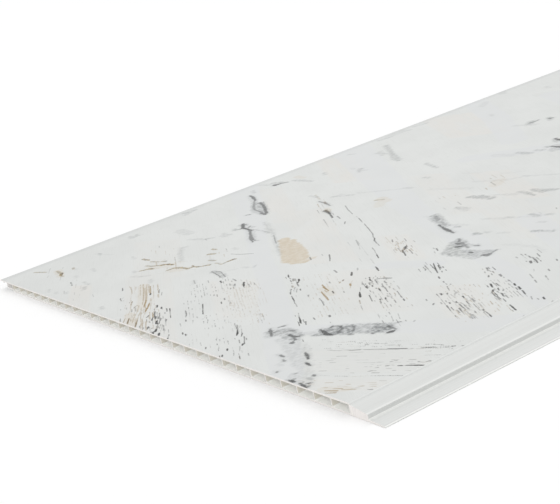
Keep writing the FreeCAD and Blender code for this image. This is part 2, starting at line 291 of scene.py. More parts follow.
# Soft grey washes in the stone.
WASHES = [
    (0.3, (5, 231, 1.4), (7, 236, 1)),
    (0.25, (40.5, 244, 1.4), (43, 249, 1.2)),
    (0.2, (50, 211, 1.2), (53, 217, 0.8)),
    (0.3, (76.5, 237, 1), (77, 242, 1)),
    (0.2, (94.5, 242, 1.6), (95, 246, 1.4)),
    (0.25, (113, 258, 1.4), (119, 268, 1.8)),
    (0.22, (121, 252, 2.2), (128, 260, 1.4), (132, 270, 1)),
    (0.4, (116, 280, 1.2), (118, 284, 1.4)),
    (0.35, (123, 275, 1.6), (125, 278, 1.2)),
    (0.35, (126, 362, 1.6), (132, 366, 2.6)),
    (0.2, (102, 312, 3), (103, 328, 3.6)),
    (0.3, (83, 354, 1.6), (84, 360, 1.8)),
    (0.3, (86, 355, 1.2), (88, 359, 1.4)),
    (0.28, (107, 276, 1.8), (110, 283, 1.4)),
    (0.35, (4.5, 304, 1), (6, 309, 0.8)),
    (0.42, (16.5, 281, 1.2), (18, 285, 1.4)),
    (0.3, (8, 286, 1), (9, 290, 0.8)),
    (0.3, (5, 294, 0.9), (6, 298, 0.8)),
    (0.35, (22, 287, 0.7), (23, 297, 0.6)),
    (0.22, (25, 311, 1), (26, 316, 1)),
    (0.25, (36, 310, 0.9), (38, 318, 1)),
    (0.25, (33, 329, 0.8), (33.5, 332, 0.6)),
    (0.45, (55, 342, 0.9), (55.5, 347, 0.8)),
    (0.18, (54, 350, 0.5), (58, 332, 0.5)),
    (0.3, (41, 269, 0.9), (44, 261, 0.9)),
    (0.4, (46, 275, 1), (46.5, 278, 1)),
    (0.25, (60, 304, 1.1), (61, 310, 0.9)),
    (0.16, (184, 262, 1.6), (186, 268, 1.4)),
    (0.3, (216, 329, 1.6), (219, 334, 1.6)),
    (0.35, (225, 302, 1.2), (231, 309, 2.4)),
    (0.25, (230, 315, 0.7), (231, 319, 0.6)),
    (0.42, (251, 293, 1.6), (255, 302, 2.8), (266, 321, 1.6), (279, 344, 2.2)),
    (0.3, (260, 322, 1.6), (266, 334, 1.8)),
    (0.42, (243, 244, 1.2), (249, 262, 1.4)),
    (0.38, (276, 200, 1.6), (278, 208, 1.6)),
    (0.3, (283, 194, 1.6), (284, 199, 1.4)),
    (0.35, (286, 185, 4), (293, 191, 4)),
    (0.5, (300, 198, 1.4), (306, 206, 1.8)),
    (0.4, (334, 258, 3.4), (341, 263, 2.6)),
    (0.42, (345, 249, 2.2), (350, 256, 1.8)),
    (0.2, (352, 314, 1.6), (356, 320, 1.2)),
    (0.14, (376, 352, 3), (386, 360, 3)),
    (0.18, (410, 366, 3), (416, 374, 3)),
    (0.22, (424, 331, 1.6), (428, 338, 1.8)),
    (0.16, (300, 366, 4), (312, 368, 4)),
    (0.95, (37.9, 73.7, 3.8), (41.2, 70.8, 5), (44.2, 66.8, 5.4)),
    (0.95, (44.4, 67, 5.4), (47.2, 61.4, 5.4)),
    (0.55, (47.3, 61.6, 5.4), (50.5, 55.1, 5.4)),
    (0.95, (50.5, 55.1, 5.4), (53.3, 49.5, 5.2)),
    (0.3, (53.3, 49.5, 4), (55.2, 45.5, 1.6)),
    (0.4, (26.3, 95.2, 3.4), (31.8, 90.6, 3), (33.2, 79.9, 1.6)),
    (0.8, (27.7, 97.4, 2.4), (29.9, 95, 2.4), (32.7, 91.2, 2.2)),
    (0.8, (30.6, 87.9, 2.2), (27.7, 78.3, 2.6)),
    (0.6, (27.7, 85, 3), (29.5, 80.7, 3)),
    (0.22, (33.5, 81.9, 2), (37.9, 73.7, 2.8)),
    (0.62, (27.9, 98.5, 3), (32.2, 93.7, 2.6)),
    (0.6, (32.3, 92.2, 2.4), (32.6, 85.3, 2.6), (33.1, 79.7, 1.6)),
    (0.45, (28.3, 83.6, 2.6), (30, 82.2, 2.6)),
    (0.55, (131.3, 99.7, 4), (131.9, 94.9, 4.6), (132.9, 90.1, 4.6)),
    (0.48, (132.5, 89.7, 4.6), (134.4, 80.7, 4.4)),
    (0.52, (134.9, 84.8, 3.4), (136.6, 80.5, 3.6), (137.9, 77.6, 3), (141, 76.7, 1.2)),
    (0.62, (147.3, 111.7, 1), (143.1, 107.1, 4.4), (138.9, 102.7, 6)),
    (0.55, (142.9, 104.5, 2.4), (139.2, 95.6, 1.6)),
    (0.4, (128.5, 98.3, 1.4), (130.7, 96.7, 2.4)),
    (0.2, (168.7, 163.5, 0.8), (168.7, 157.1, 2)),
    (0.62, (170.8, 158.9, 3.2), (165.6, 148.7, 3.4)),
    (0.5, (165.6, 148.7, 3.2), (160.3, 136.2, 2.4)),
    (0.25, (163.3, 133.2, 1.2), (164.3, 125.1, 1)),
    (0.5, (160.6, 129.1, 1.3), (161.5, 127.7, 1.2)),
    (0.5, (155.4, 108.2, 1.6), (156.2, 105.9, 1.4)),
    (0.22, (158.7, 104.8, 1.2), (158.9, 102.8, 1.2)),
    (0.35, (185.3, 154, 2.2), (184.2, 151.1, 2.4)),
    (0.22, (182.8, 148, 1.6), (182.9, 146, 1.4)),
    (0.45, (142.7, 95.5, 1.6), (143, 91.4, 1.5)),
    (0.35, (14.3, 72.5, 0.8), (14.5, 69.9, 1.2), (14.2, 66.7, 1.4)),
    (0.35, (12.5, 64.5, 1), (11, 61.3, 1.2)),
    (0.22, (8.2, 61.4, 1), (8.3, 59.5, 1)),
    (0.45, (1, 42.6, 1.6), (1.8, 40, 2.2)),
    (0.5, (5.1, 36.8, 2), (5.4, 34.3, 2.2)),
    (0.3, (5.7, 46, 0.9), (7.2, 45.1, 1)),
    (0.35, (11, 46, 1.4), (11.3, 44.8, 1.2)),
    (0.35, (0.6, 34.1, 1.2), (1, 30.4, 1.6)),
    (0.35, (166.4, 344.2, 2), (160.4, 329.5, 2.4)),
    (0.5, (160.3, 330.1, 2), (147.4, 309.3, 2.2)),
    (0.55, (155.1, 319.2, 3), (154.2, 311.6, 3.4), (148.5, 299.2, 3.2)),
    (0.45, (145.8, 305.6, 2.4), (144.3, 291.1, 2.6)),
    (0.45, (124.3, 287.3, 1.8), (125.5, 282.6, 1.8)),
    (0.5, (124, 277.1, 1.3), (124.3, 272.8, 1.3)),
    (0.4, (116.9, 282.8, 1.2), (118.9, 278.2, 1.2)),
    (0.35, (117, 263, 2), (109.1, 248.2, 2.2)),
    (0.3, (131.6, 271.4, 1), (131, 264.7, 1.2)),
    (0.32, (125.9, 258.6, 2), (121, 247.9, 2.2)),
    (0.38, (121.1, 253.7, 1.2), (121.3, 246.7, 1.4)),
    (0.3, (113.9, 232.3, 1), (108.3, 220.8, 1.2)),
    (0.45, (192.2, 358.3, 2.4), (194.6, 352.4, 2.6)),
    (0.3, (176.1, 358.5, 1.4), (173.9, 352.8, 1.4)),
    (0.16, (187.4, 366.9, 2), (191, 357.3, 2)),
    (0.35, (106.4, 280, 1.2), (111, 275.9, 0.9)),
    (0.3, (94.9, 299.4, 0.9), (98, 287, 0.8), (102, 282.9, 0.9)),
    (0.3, (85.7, 285.2, 1), (83.9, 288.4, 1.6), (76.3, 276.8, 1.6), (69.7, 261.9, 1.2)),
    (0.3, (76.7, 205.1, 0.8), (78.5, 197.6, 0.6), (81.6, 199.4, 0.6)),
    (0.2, (65.8, 212.8, 0.6), (73.5, 206.4, 0.6)),
    (0.3, (43.2, 263, 0.8), (46.8, 257.4, 0.8)),
    (0.5, (65.6, 218.5, 1.6), (65.3, 210, 2.2), (63.6, 202.1, 1.6)),
    (0.16, (224.6, 188.2, 1.1), (228.3, 175.1, 1.6), (231.2, 167, 1.4), (238.1, 161.4, 1.1)),
    (0.4, (238.7, 162, 1.2), (239.8, 158.4, 1.2)),
    (0.2, (239.8, 158.4, 0.8), (245.4, 141.7, 1.1)),
    (0.12, (207.2, 206.8, 1.4), (214.1, 179, 1.9)),
    (0.55, (201.1, 166.2, 1.6), (203, 159.3, 3), (202.8, 148.8, 2.4)),
    (0.22, (207.4, 151.8, 1.1), (211.7, 137.9, 1.9)),
    (0.55, (215.3, 140.2, 1.4), (214.2, 133.8, 1.9), (212.2, 126.4, 1.1)),
    (0.55, (220, 136.3, 1.1), (219.5, 126.8, 3.2), (223, 119.8, 1.6)),
    (0.4, (185, 155.9, 1.9), (184.8, 149.2, 2.2)),
    (0.2, (174.3, 124.1, 1.1), (178.4, 110.9, 1.4)),
    (0.34, (179.3, 111.6, 1.6), (180, 108.7, 1.6)),
    (0.18, (179.6, 108.2, 0.8), (184.3, 98.9, 0.8)),
    (0.4, (186.8, 101.5, 1.6), (185.6, 95.7, 1.9)),
    (0.3, (188.3, 92.8, 1.6), (189.6, 89.5, 1.6)),
    (0.6, (156, 109, 1.4), (156.3, 105.8, 1.4)),
    (0.3, (158.6, 105.5, 1.1), (159.3, 103, 1.1)),
    (0.25, (160.2, 95.9, 1.1), (161.8, 91.6, 1.1)),
    (0.6, (166.8, 79.9, 1.2), (168.2, 76.1, 1.4)),
    (0.6, (169.1, 72.9, 1.2), (170.7, 69.5, 1.4)),
    (0.3, (178.5, 87.2, 1.1), (179.2, 84.2, 1.1)),
    (0.45, (277.5, 208.3, 1.9), (277.3, 197.1, 2.2)),
    (0.45, (282.9, 198.5, 1.6), (284.5, 192.9, 1.6)),
    (0.6, (290.1, 197.4, 1.6), (293, 188.2, 2.7)),
    (0.14, (270.6, 221.9, 2.7), (272.2, 207.1, 2.7)),
    (0.6, (306.6, 205.6, 1.6), (304.9, 200.3, 2.2)),
    (0.34, (205.7, 228.8, 1.4), (206.1, 223.4, 1.4)),
    (0.3, (224.8, 234, 1.4), (225.1, 230.3, 1.4)),
    (0.1, (240.4, 182.7, 0.8), (246.2, 169.2, 0.8)),
    (0.12, (236.3, 210.6, 0.8), (239.1, 200.2, 0.8)),
    (0.14, (148.1, 79.1, 1.1), (150.8, 61.5, 1.1), (147, 51.1, 1.1)),
    (0.26, (23.2, 77.7, 2.6), (19.1, 66.4, 3.4), (13.5, 52.8, 3.6)),
    (0.2, (27.6, 79.5, 2.2), (23.3, 65.9, 3), (18.9, 57.9, 2.6)),
    (0.22, (24.4, 86.9, 2), (24.6, 76.9, 2.4)),
    (0.2, (12.3, 51.3, 2.6), (8.6, 41.1, 3.2)),
    (0.24, (3.7, 43.6, 2.6), (3.6, 34.3, 3.4)),
    (0.4, (132.4, 272.8, 0.9), (122.4, 248.1, 1.1)),
    (0.4, (120.9, 244.8, 0.9), (113.1, 229.3, 0.8), (96.9, 199.2, 0.7)),
    (0.45, (127.5, 367.9, 1.3), (131.4, 366, 1.7), (135.3, 365.2, 1.1)),
    (0.4, (82.7, 357.5, 1.1), (85.2, 355.3, 1.5), (88.9, 354.5, 1.1)),
    (0.45, (94.4, 299.5, 0.7), (99, 288.2, 0.8), (102.4, 283, 1)),
    (0.35, (106.6, 280.2, 1.1), (108.5, 277.6, 1.3), (110.6, 274.4, 1)),
    (0.3, (187.2, 366.5, 1.5), (189.7, 355.1, 1.5)),
    (0.4, (200.6, 346.1, 1.1), (202.2, 336.4, 2), (202.1, 324.4, 1.3)),
    (0.35, (178.7, 291.2, 1.1), (177.8, 281.9, 1.3)),
    (0.35, (176, 358.5, 1.3), (173, 350.8, 1.3)),
    (0.3, (289.4, 365, 2), (299.2, 363.9, 2)),
    (0.28, (306.6, 366.1, 1.8), (315.1, 362.5, 1.8)),
    (0.28, (324.1, 366.5, 1.8), (333.4, 363.7, 1.8)),
    (0.4, (262.3, 333.4, 1.2), (262.8, 319.1, 1.2)),
    (0.4, (252.3, 302, 1.1), (254.1, 295.2, 1.1)),
    (0.3, (256.4, 358.2, 1.1), (258.6, 353.9, 1.1)),
    (0.4, (226.6, 304.4, 1.1), (230.4, 301, 1.1)),
    (0.35, (180.7, 270.7, 1), (182.7, 266.8, 1.3), (187.8, 256.8, 1.1)),
    (0.2, (191, 257.2, 0.8), (203.5, 230.4, 0.9)),
    (0.45, (206, 229.1, 1.1), (206, 224.4, 1.1)),
    (0.2, (330.3, 268.4, 1.6), (333.9, 251.7, 2)),
]

# Dark veins and blots.
VEINS = [
    (0.75, (106, 242.5, 0.5), (109.5, 251, 1), (115.5, 261.5, 0.6), (119.5, 268, 1.2)),
    (0.95, (119.5, 268, 0.8), (120.5, 274, 0.7), (121, 279, 1.2), (126, 287.5, 1)),
    (0.5, (119.5, 278, 0.6), (116, 282, 0.4)),
    (0.5, (122, 274.5, 0.6), (125, 277, 0.7)),
    (0.2, (188.5, 96, 0.4), (190, 99, 0.3)),
    (0.6, (346.5, 250.5, 0.8), (349, 254, 1)),
    (0.4, (335, 259.5, 0.8), (339, 262, 0.9)),
    (0.5, (303, 200.5, 0.6), (305.5, 204, 0.8)),
    (1, (40, 77.5, 0.4), (39.5, 74.3, 0.9), (38, 69.8, 1.2), (38.5, 66.2, 0.8), (39.6, 65.3, 0.5)),
    (1, (43.8, 74.6, 0.5), (45, 74.9, 0.9)),
    (0.75, (45.2, 75.2, 0.6), (46.8, 71.2, 0.5), (44.8, 67.6, 0.7), (41.9, 66.5, 0.8)),
    (0.5, (40.8, 66.2, 0.5), (42.3, 64.1, 0.6)),
    (0.62, (49.6, 66.6, 0.5), (47.9, 62.8, 0.7), (45.4, 60.7, 0.5)),
    (0.6, (42, 58.9, 0.5), (43.4, 57.2, 0.4)),
    (0.5, (54, 58.8, 0.5), (55.6, 56.6, 0.4)),
    (0.6, (47.4, 50.1, 0.5), (47.6, 48.5, 0.4)),
    (0.75, (55.8, 49.4, 0.6), (55, 45.8, 0.9), (55, 42.9, 0.4)),
    (1, (51, 43.3, 0.9), (52.2, 42.7, 1.4), (53.3, 42.3, 0.7)),
    (0.5, (58.1, 51.4, 0.4), (58.7, 50.6, 0.4)),
    (0.3, (49.3, 68, 0.25), (56.5, 54.7, 0.25), (61.1, 46.8, 0.25)),
    (0.8, (30.2, 103, 0.5), (28.7, 100.3, 0.9), (25.2, 93.7, 0.5)),
    (0.5, (25, 94, 0.4), (28.8, 92.5, 0.4), (31.5, 91.8, 0.7)),
    (0.5, (28.5, 97, 0.4), (30.4, 96.7, 0.5)),
    (0.8, (33, 100.1, 0.5), (35.2, 99.5, 0.9)),
    (0.6, (31.5, 91.8, 0.7), (33.1, 91.6, 0.9), (33.7, 88.7, 0.5)),
    (0.85, (29.9, 86.7, 0.7), (29.6, 82.5, 1), (31.2, 80, 0.5)),
    (0.7, (29.3, 82, 0.7), (27.6, 78.4, 0.6), (25.5, 77.5, 0.5)),
    (0.95, (24.8, 77.6, 0.8), (24.9, 76.4, 0.9)),
    (0.45, (32.2, 81.2, 0.4), (33.5, 80.3, 0.4)),
    (0.5, (40.2, 73.2, 0.4), (43.3, 70, 0.5)),
    (0.4, (47, 67.8, 0.4), (44.7, 62.4, 0.4)),
    (0.4, (52.6, 54.4, 0.4), (50.4, 48.7, 0.5)),
    (0.35, (54.4, 52.6, 0.3), (52.4, 46.5, 0.4)),
    (0.6, (147.4, 111.2, 0.6), (143.8, 106.9, 0.8)),
    (0.8, (142.1, 106.8, 0.7), (141.6, 104.2, 1.1)),
    (0.6, (143.5, 104.8, 1), (140.4, 98.9, 1.3)),
    (1, (137.8, 102.8, 0.6), (138.5, 101.5, 1.1), (139.3, 100.2, 0.9)),
    (0.45, (140.8, 99.3, 0.9), (139.4, 95.2, 0.5)),
    (0.85, (134.4, 88.3, 0.8), (134.6, 86.4, 0.9)),
    (0.35, (131.9, 86.8, 0.5), (132.5, 80.8, 0.5)),
    (0.75, (133.8, 78.3, 1), (134.4, 75.8, 1.6), (136.4, 75.9, 1.2)),
    (0.4, (136.5, 76, 0.9), (141.1, 76.8, 0.6)),
    (0.6, (142.4, 94, 0.7), (142.9, 91.8, 0.8)),
    (0.32, (128, 85.7, 0.4), (128.3, 79, 0.5), (131.4, 77.3, 0.5)),
    (0.4, (170.6, 157.8, 0.9), (166.3, 150, 1.2)),
    (0.9, (160.4, 142.6, 0.5), (157.7, 136.1, 0.8), (155.4, 129.3, 1.3), (153.3, 122, 0.5)),
    (0.3, (164.4, 145.6, 0.8), (161.3, 137.9, 0.8)),
    (0.3, (129.5, 98.5, 0.6), (129.2, 96.4, 0.6)),
    (0.75, (14.4, 69.7, 0.5), (14.2, 67.7, 0.8), (14.3, 66.3, 0.5)),
    (0.65, (12.2, 64, 0.5), (11.6, 61.9, 0.6)),
    (0.8, (3, 54.7, 0.5), (3.4, 55.5, 0.5)),
    (0.95, (21.3, 61.3, 0.5), (19.8, 57.2, 0.8), (17.6, 53.1, 0.4)),
    (1, (15, 51.5, 0.4), (14.6, 49.1, 0.9), (14, 46.3, 0.4)),
    (1, (1.1, 42.5, 0.4), (1, 40.7, 0.9), (1.1, 38.5, 0.7)),
    (0.5, (2.5, 41.4, 0.7), (2.9, 41.1, 0.6)),
    (0.6, (5.9, 45.6, 0.4), (7, 45.1, 0.5)),
    (0.95, (1.3, 35.3, 0.4), (1.2, 33.5, 0.6), (0.8, 31.7, 1), (0.3, 28.9, 0.7)),
    (0.65, (-0.3, 32.9, 0.5), (0, 32, 0.5)),
    (0.85, (2.9, 31.7, 0.7), (4.1, 30.7, 0.5)),
    (0.65, (2.1, 29.2, 0.4), (1.4, 27.9, 0.4)),
    (0.75, (8.2, 36.6, 0.5), (8.9, 36.5, 0.8), (8.6, 34.9, 0.5)),
    (0.4, (3.1, 35.3, 0.4), (2.8, 34.1, 0.4)),
    (0.85, (167.9, 348.6, 0.7), (166.5, 342.5, 1.1), (161.8, 331.3, 0.8)),
    (0.5, (160.5, 330.4, 0.6), (151.3, 316, 0.8), (147.6, 308.5, 0.7)),
    (0.65, (147.6, 308.5, 0.6), (146.5, 300.6, 0.8), (144, 292.7, 0.9)),
    (0.85, (156.5, 321.5, 0.7), (159.3, 321.4, 1), (156.4, 312.9, 1), (151.2, 302.1, 1),
     (145.5, 291.3, 1.1)),
    (0.9, (144.2, 295.7, 0.9), (143.8, 289.3, 1.1)),
    (0.4, (153.2, 313.7, 0.5), (152.5, 308.4, 0.5)),
    (0.5, (161.1, 320.3, 0.5), (156.7, 311.7, 0.5)),
    (0.7, (138.4, 304.5, 0.4), (140.3, 302.4, 0.8)),
    (0.75, (124.1, 286.3, 0.5), (126, 284.2, 0.9)),
    (0.95, (119.3, 279.1, 0.5), (120.7, 277.4, 0.8), (120.5, 272.7, 0.7), (119.8, 266.9, 0.7),
     (121.4, 265.2, 0.4)),
    (0.75, (119.3, 267.7, 0.5), (113.2, 256.8, 0.8), (109, 247.7, 0.8), (108.2, 243.5, 0.4)),
    (0.4, (108.2, 243.5, 0.4), (109.1, 241.8, 0.3)),
    (0.95, (189.1, 352.5, 0.7), (189.5, 350, 1.3), (192, 350.8, 0.6)),
    (0.3, (121.1, 268.7, 0.3), (121.5, 258.5, 0.4), (120.8, 248.4, 0.5)),
    (0.95, (189.5, 352.9, 0.8), (191.2, 350.2, 1.4), (193.7, 349.6, 1), (197.2, 346.3, 0.5)),
    (0.6, (171.8, 271.6, 0.5), (170.3, 261.8, 0.9), (167.7, 253.5, 0.5)),
    (0.75, (159.3, 248.1, 0.7), (157, 238.1, 1)),
    (0.7, (334.8, 260.7, 0.8), (339.8, 259.3, 1), (344.7, 259.4, 0.6)),
    (0.7, (347, 254.5, 0.7), (349.6, 250.7, 0.8)),
    (0.9, (306.1, 205.8, 0.8), (303.6, 198.1, 1.3)),
    (0.9, (291.4, 194.3, 0.6), (291, 185.5, 1.5)),
]

# Gold, olive and brown rubs.
RUBS = [
    (1, (22.5, 329.5, 1), (24.5, 334, 1.3)),
    (0.6, (24.5, 334, 1.2), (25.5, 343, 0.9)),
    (0.4, (22, 325.5, 0.8), (22.5, 329.5, 0.9)),
    (0.6, (17.5, 361, 0.9), (19, 357, 0.9), (21.5, 350, 0.7)),
    (0.5, (32.3, 333, 0.8), (33.5, 337, 0.9)),
    (0.4, (183, 228, 1), (185.5, 223.5, 1.2)),
    (0.25, (175, 275, 0.7), (181, 289, 0.7)),
    (0.6, (170, 262, 0.7), (172, 266, 0.8)),
    (0.55, (158.5, 242, 1.1), (161, 248, 1.2)),
    (0.2, (12, 8, 0.7), (8, 10, 0.4)),
    (0.9, (48.5, 273.7, 0.7), (51.5, 271.6, 0.8), (53, 270.5, 1.2), (54.1, 267.3, 0.7)),
    (0.65, (55, 279.8, 0.7), (56.5, 273.3, 0.8), (59.9, 268.8, 1)),
    (0.95, (59.7, 268.5, 1.1), (62.1, 265.7, 1.2), (63.3, 260.2, 0.7)),
    (0.75, (61.2, 295.9, 1), (61.8, 288.5, 0.9)),
    (0.55, (60.5, 284.2, 0.8), (62.7, 277.2, 0.8)),
    (0.6, (63.8, 276, 0.8), (64.8, 272.7, 0.8)),
    (0.7, (55.3, 253.7, 0.9), (59.4, 253.7, 1.1), (62.1, 248.9, 1.2)),
    (0.8, (62.1, 248.9, 1), (62.5, 242.1, 1), (65.9, 240.6, 0.8), (67.2, 244.7, 0.6)),
    (0.75, (66.4, 240.7, 0.8), (66.8, 237.7, 1.1), (67.8, 236.4, 0.7)),
    (0.9, (68.7, 235.4, 0.8), (70.4, 234.2, 1.1), (71.8, 232.4, 0.7)),
    (0.55, (76, 241, 0.8), (77.5, 236.2, 0.8)),
    (0.5, (74.8, 231.7, 0.7), (75.1, 225.1, 0.9), (78.2, 225.4, 0.9)),
    (0.85, (78.2, 225.4, 0.9), (81.1, 225.3, 1), (82.9, 225.3, 1.2), (83.8, 224.2, 0.7)),
    (0.7, (82.4, 253.3, 1.2), (84.4, 249.6, 1.2)),
    (0.6, (88.8, 260.5, 1), (89.4, 256.1, 0.9)),
]

# Tan stains.
STAINS = [
    (1, (93.2, 184.7, 2.8), (115.4, 224, 2.2)),
    (1, (94.2, 178.6, 3.2), (114.6, 216.5, 2.2)),
    (0.95, (95.6, 174.6, 2.6), (105, 192.2, 3), (111.5, 208, 2.2)),
    (0.6, (97.5, 176.5, 1.6), (101.3, 173.5, 0.8)),
    (0.3, (55, 272, 2.6), (62, 262, 2.4)),
    (0.3, (58, 250, 2.6), (63, 242, 1.4)),
    (0.35, (22, 328, 1.2), (26, 343, 1.6)),
    (0.25, (176, 215, 2.4), (181, 221, 2)),
    (0.35, (184, 219, 2.4), (186, 227, 2.6)),
    (0.25, (222, 167, 2.6), (229, 172, 3)),
    (0.3, (2, 21, 1), (7, 12, 1.3)),
    (0.35, (70, 112, 1.4), (74, 124, 1.6)),
    (0.35, (16, 206, 1.6), (30, 232, 1.8), (36, 244, 1.4)),
    (0.4, (1, 186, 1.4), (8, 204, 1.4)),
    (0.35, (160, 244, 1), (163, 250, 1)),
    (0.3, (207, 342, 1.2), (208, 352, 1.4)),
]

